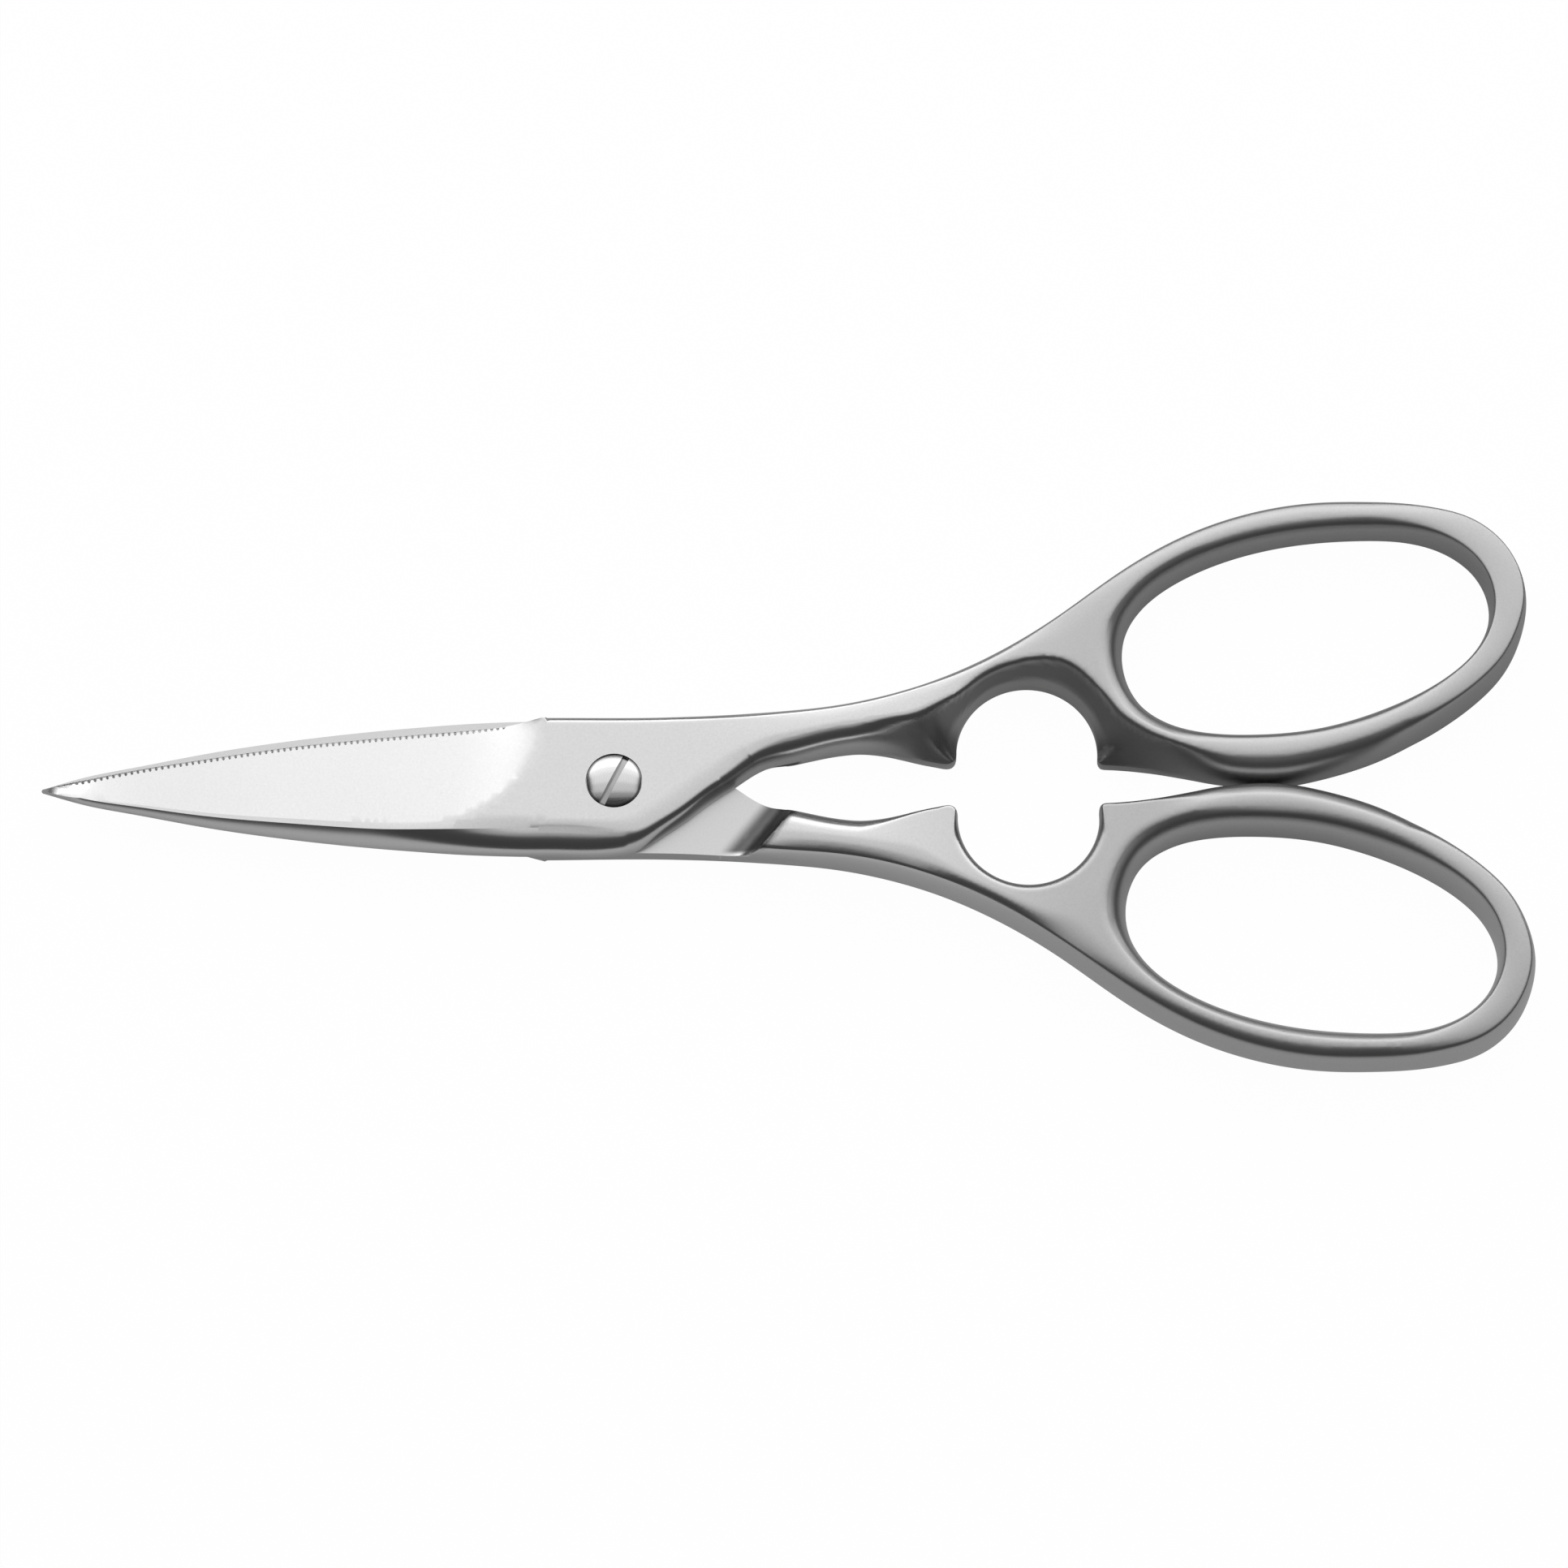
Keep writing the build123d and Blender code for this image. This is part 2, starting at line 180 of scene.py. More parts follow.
# Widths of the walls that round the edges. A pair in brackets is a span of X, or of Y or the
# normal where the name says so, over which a width goes from one value to the next.
FAR_END, FAR_END_LOSS = (106, 122), 0.5
WIDEST_SHARE = 0.62
HOLE_WIDTH, HOLE_ROOT_GAIN, HOLE_ROOT = 1.35, 0.75, (73, 86)
HOLE_BOTTOM_GAIN = 0.25
HANDLE_WIDTH, HANDLE_LOSS, HANDLE_LOSS_Y = 1.7, 0.35, (10, 30)
OUTSIDE_WIDTH, OUTSIDE_LOSS, OUTSIDE_SPAN = 1.0, 0.3, (45, 75)
# Beyond this X the outside's width begins over a span of the normal's Y, and not at once
TURN_FROM, TURN_NORMAL = 100, (-0.5, 0.5)
BOW_SIDE_GAIN, BOW_SIDE_BEGIN, BOW_SIDE_END, BOW_SIDE_Y = 1.0, (66, 76), (104, 116), (6, 14)
NECK_WIDTH, NECK_GAIN, NECK_GAIN_SPAN, NECK_END = 1.5, 0.7, (12, 26), (30, 46)
RICASSO_WIDTH, RICASSO_GAIN, RICASSO_SPAN, RICASSO_SIDE_Y = 1.5, 1.7, (-6, 9), -1
BLADE_SPINE_GAIN, BLADE_SPINE_START = 1.1, -35
BEVEL_LOSS, BEVEL_END, LAST_BEVEL, LAST_BEVEL_START = 0.9, -15.5, 0.1, -15
BITE_BOTTOM_WIDTH, LUG_BOTTOM_WIDTH, BITE_MARGIN = 1.3, 0.6, 0.3
SHANK_BOTTOM_WIDTH, SHANK_BEGIN, SHANK_END = 0.6, (16, 26), (60, 80)
BOW_BOTTOM_GAIN, BOW_BOTTOM_SPAN = 0.45, (62, 80)

# How round the walls are, 0 for a flat bevel, and how much of their height the rounding takes
WALL_TURN = 80
FLAT_SPINE, FLAT_SPINE_SPAN = 0.28, (-36, -12)
ROUND_EDGE_START = -13
ROUNDING, SPINE_ROUNDING = 0.96, 0.75
RICASSO_ROUNDING, RICASSO_ROUNDING_SPAN = 0.27, (8, 34)

# Crowns: how far a face falls from its middle to its wall
CROWN, CROWN_SPAN = 0.30, (8, 30)
BOW_CROWN_GAIN, BOW_CROWN_SPAN = 0.10, (66, 80)
CROWN_LOSS, CROWN_LOSS_SPAN = 0.2, (104, 124)
RICASSO_CROWN, RICASSO_CROWN_SPAN, NECK_CROWN_END = 0.24, (-30, -14), 20
HOLE_CROWN, HOLE_ROOT_CROWN = 0.40, 0.05
SHANK_BOTTOM_CROWN = 0.4
CROWN_REACH, LEAST_CROWN_REACH = 4.5, 0.1

# Where the outer outline's sides begin
SPINE_END = 2
OUTSIDE_START = 8
GAP_END = 10

# The lugs' slope: it rises from this lower edge and from the gripper's bite up to the crease.
# The bite's reach goes by the angle round its middle.
LUG_LOW_EDGE = [
    (21.0, 2.5), (25.5, 3.7), (30.1, 4.8), (34.6, 5.4), (39.3, 5.35), (46.2, 4.1), (58.0, 3.95),
    (71.2, 3.65), (76.0, 3.1), (80.4, 1.95), (84.9, 0.75), (90.0, 0.1),
]
LUG_LOW_REACH = [
    (20, 1.6), (32, 2.1), (37, 2.9), (41.5, 3.9), (44.3, 5.2), (48, 6.6), (58, 7.2), (68, 6.6),
    (70, 5.8), (72, 4.4), (75.3, 3.0), (80, 2.4), (88, 2.1),
]
BITE_REACH = [
    (-12, 7.6), (0, 7.1), (10, 4.4), (23, 2.9), (38, 2.35), (54, 2.4), (66, 2.4), (76, 2.1),
    (92, 1.4), (110, 0.95), (130, 1.0), (150, 2.1), (164, 4.4), (175, 6.2), (190, 7.0),
]
VALLEY_SOFTNESS, VALLEY_REACH = 2.0, 2
CREASE_SOFTNESS, CREASE_REACH = 1.1, 1.2
HOLE_RIM = 0.5

# Where the recesses (the lugs' slopes and the cove) get painted shade and a rougher finish, and where
# the inner face is ground: spans of depth, Z or distance
RECESS_DEPTH, RECESS_Z, OTHER_WALL = (0.25, 1.6), (-2.4, -1.6), 2.2
RIM_REACH, RIM_HEIGHT, RIM_Z = (1.0, 1.6), 6, (-0.6, 0.6)
COVE_FADES, COVE_Z, COVE_X, COVE_EDGE = ((-0.8, 1.2), (4.4, 5.2)), (-5.0, -4.6), 34, (0.1, 0.9)
INNER_Z, INNER_X, INNER_TOP = (-0.5, -0.05), 26, 0.03

# Steel: polished near the pivot, satin on the bows. Lengths from here on are in metres.
SATIN = (0.012, 0.045)
POLISHED_TONE, SATIN_TONE = 0.64, 0.48
POLISHED_ROUGHNESS, SATIN_ROUGHNESS = 0.24, 0.36
# Painted shade: the share by which the tone is darkened in the recesses
RECESS_PAINTED_SHADE = 0.5
INNER_SHARE = 0.03
# Painted shade in the cove: how strongly its mask counts among the recesses'
COVE_PAINTED_SHADE = 1.6
CLOUD_SCALE, CLOUD_TONE, CLOUD_ROUGHNESS = 70, 0.02, 0.025
GRAIN_SCALE, GRAIN_TONE, GRAIN_HEIGHT = 3500, 0.04, 0.00001
POLISHED_GRAIN, SATIN_GRAIN = 0.03, 0.3
INNER_ROUGHNESS, RECESS_ROUGHNESS = 0.1, 0.08

# Turned steel: fine rings, and painted shade: a dark ring at the head's rim and a darker slot
RING_SCALE, RING_WANDER = 900, 1.5
RING_TONE, RING_ROUGHNESS = 0.94, 0.1
RIM = ((0.5 * HEAD_DIAMETER - 0.32) * MM, (0.5 * HEAD_DIAMETER - 0.12) * MM)
SLOT_HALF = 0.5 * SLOT_WIDTH * MM * 1.02

# Floor, and how much of its look is its own glow, straight and over spans of Y in reflections. The glow
# the steel reflects is dimmer from Y 0 towards +Y and far off towards -Y: painted shade.
FLOOR_HALF = 3.0
FLOOR_TONE, FLOOR_ROUGHNESS, FLOOR_GLOW = 0.42, 0.9, 1.04
CAMERA_GLOW = 0.94
MIRROR_GLOW_NEAR, MIRROR_GLOW_FAR = 0.13, 0.36
MIRROR_NEAR = (-0.03, 0.0)
MIRROR_FADE, MIRROR_DISTANT = (-0.25, -0.08), 0.15
WORLD_STRENGTH = 0.06

# Panels over the shears: from one angle off the vertical to another, towards +Y, and brightness
SOFTBOXES = {
    "edge_softbox": (-25, -12, 0.34),
    "overhead_softbox": (-12, 12, 0.78),
    "slanted_softbox": (12, 36, 1.06),
    "low_softbox": (36, 50, 1.28),
    "skirt_softbox": (50, 72, 1.8),
}
SOFTBOX_LENGTH, SOFTBOX_DISTANCE = 2.4, 1.0

# The photograph's view: from the side of the rear half's loop, off the vertical
CAMERA_TILT = math.radians(18)
CAMERA_ROLL = math.radians(0.275)
CAMERA_DISTANCE = 1.6
CAMERA_RANGE = (0.1, 10)
VIEW_X, VIEW_UP = -0.21 * MM, 0.571 * MM
PIXELS_PER_MM = 8.75
IMAGE_WIDTH = 1932
SENSOR = 36


# Curves
def slopes(knots, points, start=None, end=None, closed=False):
    """Derivatives of the smooth cubic through the points, at each point."""
    count = len(points)
    matrix = np.zeros((count, count))
    right = np.zeros((count, points.shape[1]))
    gaps = np.diff(knots)
    lines = np.diff(points, axis=0) / gaps[:, None]
    for i in range(1, count - 1):
        before, after = gaps[i - 1], gaps[i]
        matrix[i, i - 1:i + 2] = after, 2 * (before + after), before
        right[i] = 3 * (after * lines[i - 1] + before * lines[i])
    if closed:
        matrix[0, 0], matrix[0, 1], matrix[0, -2] = 2 * (gaps[-1] + gaps[0]), gaps[-1], gaps[0]
        right[0] = 3 * (gaps[0] * lines[-1] + gaps[-1] * lines[0])
        matrix[-1, -1], matrix[-1, 0] = 1, -1
        return np.linalg.solve(matrix, right)
    for row, given, line in ((0, start, lines[0]), (-1, end, lines[-1])):
        matrix[row, row] = 1
        if given is None:
            matrix[row, 1 if row == 0 else -2] = 0.5
            right[row] = 1.5 * line
        else:
            right[row] = given
    return np.linalg.solve(matrix, right)


def cubic(knots, points, tangents, at):
    """The cubic through points with these tangents, at some places along its knots."""
    index = np.clip(np.searchsorted(knots, at, side="right") - 1, 0, len(knots) - 2)
    gap = (knots[index + 1] - knots[index])[:, None]
    t = ((at - knots[index])[:, None]) / gap
    a, b, m, n = points[index], points[index + 1], tangents[index] * gap, tangents[index + 1] * gap
    start, start_turn = 2 * t**3 - 3 * t**2 + 1, t**3 - 2 * t**2 + t
    end, end_turn = 3 * t**2 - 2 * t**3, t**3 - t**2
    return start * a + start_turn * m + end * b + end_turn * n


def spline(points, start=None, end=None, closed=False, step=0.05):
    """Dense points of a smooth curve through the given ones."""
    points = np.array(points, float)
    if closed:
        points = np.vstack([points, points[:1]])
    knots = np.concatenate([[0], np.cumsum(norm(np.diff(points, axis=0), axis=1))])
    tangents = slopes(knots, points, start, end, closed)
    return cubic(knots, points, tangents, np.linspace(0, knots[-1], int(knots[-1] / step)))


def curve_of(x, xs, values):
    """A smooth function of x through a few values, level past its ends."""
    xs, values = np.array(xs, float), np.array(values, float)[:, None]
    return cubic(xs, values, slopes(xs, values), np.clip(np.atleast_1d(x), xs[0], xs[-1]))[:, 0]


def resample(points, step_at):
    """Points along a closed polyline at a spacing that step_at gives for each place."""
    points = np.vstack([points, points[:1]])
    lengths = norm(np.diff(points, axis=0), axis=1)
    middle = (points[1:] + points[:-1]) / 2
    load = np.concatenate([[0], np.cumsum(lengths / step_at(middle))])
    targets = np.linspace(0, load[-1], int(round(load[-1])) + 1)[:-1]
    return np.stack([np.interp(targets, load, points[:, k]) for k in (0, 1)], axis=1)


def ease(x, span):
    """0 up to the span's start and 1 from its end, with a smooth rise between."""
    t = np.clip((x - span[0]) / (span[1] - span[0]), 0, 1)
    return t * t * (3 - 2 * t)


def soft_min(a, b, width):
    """The lesser of two values, rounded off where they are nearly the same."""
    width = np.maximum(width, 1e-6)
    h = np.clip(0.5 + 0.5 * (b - a) / width, 0, 1)
    return b + (a - b) * h - width * h * (1 - h)


def between(values, span):
    return (values > span[0]) & (values < span[1])


def spaced(points, gap):
    """The points of a row that lie more than a gap from all those kept before."""
    kept = np.zeros((0, 2))
    for point in points:
        if len(kept) == 0 or np.min(norm(kept - point, axis=1)) > gap:
            kept = np.vstack([kept, point])
    return kept


def in_polygon(points, polygon):
    """Even and odd crossings of a line to the right of each point."""
    result = np.zeros(len(points), bool)
    a, b = polygon, np.roll(polygon, -1, axis=0)
    rise = b[:, 1] - a[:, 1]
    rise = np.where(rise == 0, 1e-12, rise)
    for start in range(0, len(points), 1000):
        x = points[start:start + 1000, 0][:, None]
        y = points[start:start + 1000, 1][:, None]
        crosses = (a[:, 1] > y) != (b[:, 1] > y)
        at = a[:, 0] + (y - a[:, 1]) / rise * (b[:, 0] - a[:, 0])
        result[start:start + 1000] = (crosses & (x < at)).sum(1) % 2 == 1
    return result


def circle(radius):
    around = np.linspace(0, 2 * math.pi, PIVOT_SIDES + 1)[:-1]
    return np.column_stack([np.cos(around), np.sin(around)]) * radius


# Outline of the forging
def share_of_handle(share):
    return (share[0] * HANDLE_REACH, share[1] * HALF_SPAN)


def round_corner(points, corner, reach, steps=10):
    """Replaces a corner of a polyline with a small round turn."""
    distance = norm(points - points[corner], axis=1)
    first = corner
    while distance[first] < reach:
        first -= 1
    last = corner
    while distance[last] < reach:
        last += 1
    t = np.linspace(0, 1, steps)[:, None]
    turn = (1 - t) ** 2 * points[first] + 2 * t * (1 - t) * points[corner] + t**2 * points[last]
    return np.vstack([points[:first], turn, points[last + 1:]])


def blade_side(shares, size, half_width):
    """Points of the blade's edge or spine, from behind the tip to the ricasso."""
    side = [(x, share * size) for x, share in zip(BLADE_X, shares)]
    return [(TIP[0] + TIP_LENGTH, half_width)] + side[2:]


def outline():
    """The forging's edge from the tip along the cutting edge, the bow, the axis side and the spine."""
    cutting = spline(blade_side(BLADE_EDGE, RICASSO_TOP, TIP_HALF_WIDTH))
    cutting_side = (CUTTING_SIDE_SHARE[0] * HANDLE_REACH, CUTTING_SIDE_SHARE[1] * RICASSO_TOP)
    neck = [(x * HANDLE_REACH, -y * SPINE_AT_RICASSO) for x, y in NECK_SHARES]
    start = (-RICASSO_REACH, RICASSO_TOP)
    finish = (-RICASSO_REACH, -SPINE_AT_RICASSO)
    body = [start, cutting_side] + [share_of_handle(s) for s in OUTLINE_SHARES] + neck + [finish]
    handle = spline(body, (1, 0), (-1, 0))
    inside = norm(handle - GRIP_CENTRE, axis=1) < GRIP_RADIUS
    first, last = np.flatnonzero(inside)[[0, -1]]
    angles = [math.atan2(*(p - GRIP_CENTRE)[::-1]) for p in (handle[first], handle[last])]
    sweep = np.linspace(angles[0], angles[1] % (2 * math.pi), 500)
    bite = np.stack([np.cos(sweep), np.sin(sweep)], axis=1) * GRIP_RADIUS + GRIP_CENTRE
    handle = np.vstack([handle[:first], bite, handle[last + 1:]])
    handle = round_corner(handle, first + len(bite) - 1, LUG_CORNER_NEAR)
    handle = round_corner(handle, first, LUG_CORNER_FAR)
    spine = spline(blade_side(BLADE_SPINE, -SPINE_AT_RICASSO, -TIP_HALF_WIDTH)[::-1])
    t = np.linspace(0, 1, 8)[1:-1, None]
    beyond = np.array([TIP[0] - TIP_LENGTH, TIP[1]])
    tip = (1 - t) ** 2 * spine[-1] + 2 * t * (1 - t) * beyond + t**2 * cutting[0]
    return np.vstack([cutting, handle[1:-1], spine, tip])


def loop_step(places):
    """Spacing of the outline's points."""
    x, y = places.T
    step = np.full(len(x), LOOP_STEP)
    step = np.where((x < TEETH[1]) & (y > 0), TOOTH_PITCH / POINTS_PER_TOOTH, step)
    step = np.where((x < TEETH[1]) & (y <= 0), SPINE_STEP, step)
    step = np.where(between(x, COVE_AREA_X) & between(y, COVE_AREA_Y), FINE_STEP, step)
    for side in (-1, 1):
        corner = np.array([GRIP_CENTRE[0] + side * GRIP_RADIUS, LUG_CORNER_Y])
        step = np.where(norm(places - corner, axis=1) < LUG_AREA, FINE_STEP, step)
    return np.where(x < TIP_AREA_END, TIP_STEP, step)


class Loop:
    """A closed run of outline points with the inward direction at each."""

    def __init__(self, points):
        self.points = points
        tangent = np.roll(points, -1, axis=0) - np.roll(points, 1, axis=0)
        tangent /= norm(tangent, axis=1)[:, None]
        self.inward = np.stack([tangent[:, 1], -tangent[:, 0]], axis=1)
        self.count = len(points)


def half_widths(loops):
    """For each outline point, the radius of the largest disc inside that touches the outline there."""
    everything = np.vstack([loop.points for loop in loops])
    for loop in loops:
        radius = np.empty(loop.count)
        for i in range(loop.count):
            away = everything - loop.points[i]
            depth = away @ loop.inward[i]
            facing = depth > 1e-3
            radius[i] = np.min((away[facing] ** 2).sum(1) / (2 * depth[facing]))
        loop.half = smooth_along(loop, radius)


def smooth_along(loop, radius, reach=2.5):
    """The least radius within a short run of the outline, evened out."""
    result = np.empty(loop.count)
    least = np.empty(loop.count)
    for i in range(loop.count):
        near = norm(loop.points - loop.points[i], axis=1) < reach
        least[i] = radius[near].min()
    for i in range(loop.count):
        gap = norm(loop.points - loop.points[i], axis=1)
        weight = np.exp(-(gap / reach) ** 2)
        result[i] = (weight * least).sum() / weight.sum()
    return np.minimum(result, radius)


# Profiles round the outlines
def lug_weight(x, y):
    """1 on the lugs and round the gripper's bite, fading to 0 along the shank and the bow."""
    return ease(x, LUGS_BEGIN) * (1 - ease(x, LUGS_END)) * (y < LUGS_TOP)


def far_end_share(x):
    return 1 - FAR_END_LOSS * ease(x, FAR_END)


def set_hole_profiles(loop):
    """The walls round the finger hole."""
    x = loop.points[:, 0]
    none, full = np.zeros(loop.count), np.ones(loop.count)
    root = 1 - ease(x, HOLE_ROOT)
    width = (HOLE_WIDTH + HOLE_ROOT_GAIN * root) * far_end_share(x)
    loop.top_width = np.minimum(width, WIDEST_SHARE * loop.half)
    loop.bottom_width = np.minimum(width + HOLE_BOTTOM_GAIN, WIDEST_SHARE * loop.half)
    loop.crown = HOLE_CROWN + HOLE_ROOT_CROWN * root - CROWN_LOSS * ease(x, CROWN_LOSS_SPAN)
    loop.bottom_crown = loop.crown
    loop.rounding = ROUNDING * full
    loop.roundness = loop.is_hole = full
    loop.scallop = loop.lug = loop.start_z = loop.is_outer = none


def handle_widths(x, y, up_normal, axis_side):
    """Width of the top's wall along the handle's outer outline."""
    width = HANDLE_WIDTH - HANDLE_LOSS * ease(y, HANDLE_LOSS_Y)
    narrow = np.minimum(width, OUTSIDE_WIDTH - OUTSIDE_LOSS * ease(x, OUTSIDE_SPAN))
    turned_out = np.where(x > TURN_FROM, ease(up_normal, TURN_NORMAL), up_normal > 0)
    width = width + turned_out * (narrow - width)
    width *= far_end_share(x)
    bow_side = axis_side * ease(x, BOW_SIDE_BEGIN) * (1 - ease(x, BOW_SIDE_END))
    bow_side = bow_side * (1 - ease(y, BOW_SIDE_Y))
    width = width + BOW_SIDE_GAIN * bow_side
    neck_width = NECK_WIDTH + NECK_GAIN * ease(x, NECK_GAIN_SPAN)
    neck = axis_side * (1 - ease(x, NECK_END))
    width = width + neck * (neck_width - width)
    ricasso_width = RICASSO_WIDTH + RICASSO_GAIN * (1 - ease(x, RICASSO_SPAN))
    return np.where((y < RICASSO_SIDE_Y) & (x > -RICASSO_REACH), ricasso_width, width)


def notches(x):
    """Depth of the serration's notches along the cutting edge, from 0 to 1."""
    from_notch = np.abs(np.mod((x - TEETH[0]) / TOOTH_PITCH, 1.0) - 0.5) * 2
    return np.sqrt(np.clip(1 - (from_notch / NOTCH_SHARE) ** 2, 0, 1)) * between(x, TEETH)


def set_outer_profiles(loop, teeth):
    """The walls round the outside: their widths, how round they are, their crowns and the lugs."""
    x, y = loop.points.T
    up_normal = -loop.inward[:, 1]
    blade = x < -RICASSO_REACH
    cutting = blade & (y > 0)
    spine = (x < SPINE_END) & (y < 0)
    axis_side = (up_normal < 0) & (x > SPINE_END)
    outside = (up_normal > 0) & (x > OUTSIDE_START)
    from_grip = norm(loop.points - GRIP_CENTRE, axis=1)
    lug = np.where(axis_side | (from_grip < GRIP_RADIUS + LUG_BAND), lug_weight(x, y), 0)
    shank = np.where(outside, ease(x, SHANK_BEGIN) * (1 - ease(x, SHANK_END)), 0)

    loop.scallop = np.where(cutting, notches(x), 0) * (1 if teeth else 0)
    width = handle_widths(x, y, up_normal, axis_side)
    fade = ease(x, (BLADE_SPINE_START, -RICASSO_REACH))
    blade_spine = (SPINE_BEVEL_WIDTH + BLADE_SPINE_GAIN * fade) * curve_of(x, BLADE_X, BLADE_BACK)
    width = np.where(blade & (y <= 0), blade_spine, width)
    bevel = EDGE_WIDTH + NOTCH_REACH * loop.scallop
    bevel = bevel * (1 - BEVEL_LOSS * ease(x, (BEVEL_END, -RICASSO_REACH)))
    bevel = bevel + LAST_BEVEL * ease(x, (LAST_BEVEL_START, -RICASSO_REACH))
    width = np.where(cutting, bevel, width)
    loop.top_width = np.minimum(width, WIDEST_SHARE * loop.half)

    on_bite = np.abs(from_grip - GRIP_RADIUS) < BITE_MARGIN
    width = width * (1 - lug) + np.where(on_bite, BITE_BOTTOM_WIDTH, LUG_BOTTOM_WIDTH) * lug
    width = width * (1 - shank) + SHANK_BOTTOM_WIDTH * shank
    bow = ease(x, BOW_BOTTOM_SPAN) * ease(up_normal, TURN_NORMAL)
    width = width + BOW_BOTTOM_GAIN * bow
    loop.bottom_width = np.minimum(width, WIDEST_SHARE * loop.half)

    flat_spine = FLAT_SPINE + (1 - FLAT_SPINE) * ease(x, FLAT_SPINE_SPAN)
    round_edge = ease(x, (ROUND_EDGE_START, -RICASSO_REACH))
    loop.roundness = np.where(cutting, round_edge, np.where(blade, flat_spine, 1.0))
    ricasso_edge = cutting | ((y > 0) & (x < RICASSO_ROUNDING_SPAN[1]) & ~axis_side)
    gain = (ROUNDING - RICASSO_ROUNDING) * ease(x, RICASSO_ROUNDING_SPAN)
    loop.rounding = np.where(ricasso_edge, RICASSO_ROUNDING + gain, ROUNDING)
    loop.rounding = np.where(spine, SPINE_ROUNDING, loop.rounding)

    crown = CROWN * ease(x, CROWN_SPAN) + BOW_CROWN_GAIN * ease(x, BOW_CROWN_SPAN)
    crown = crown - CROWN_LOSS * ease(x, CROWN_LOSS_SPAN)
    spine_crown = RICASSO_CROWN * ease(x, RICASSO_CROWN_SPAN)
    crown = np.where(spine & (x > RICASSO_CROWN_SPAN[0]), spine_crown, crown)
    loop.crown = np.where(axis_side & (x < NECK_CROWN_END), RICASSO_CROWN, crown)
    loop.bottom_crown = loop.crown + SHANK_BOTTOM_CROWN * shank
    loop.lug = lug
    loop.is_hole = np.zeros(loop.count)
    loop.is_outer = outside.astype(float)
    loop.start_z = np.where(x < GAP_END, BLADE_GAP, 0) + LUG_EDGE_Z * lug


def lug_slope(places, full, start):
    """Height of the slope that thins the lugs and the rim of the bite."""
    x, y = places.T
    from_edge = np.maximum(y - curve_of(x, *zip(*LUG_LOW_EDGE)), 0)
    from_middle = places - GRIP_CENTRE
    from_bite = np.maximum(norm(from_middle, axis=1) - GRIP_RADIUS, 0)
    angle = np.degrees(np.arctan2(from_middle[:, 1], from_middle[:, 0]))
    angle = np.where(angle < -90, angle + 360, angle)
    edge_slope = start + (full - start) * from_edge / curve_of(x, *zip(*LUG_LOW_REACH))
    bite_slope = start + (full - start) * from_bite / curve_of(angle, *zip(*BITE_REACH))
    nearer = np.minimum(from_edge, from_bite)
    softness = VALLEY_SOFTNESS * np.clip(nearer / VALLEY_REACH, 0, 1)
    return soft_min(edge_slope, bite_slope, softness), nearer


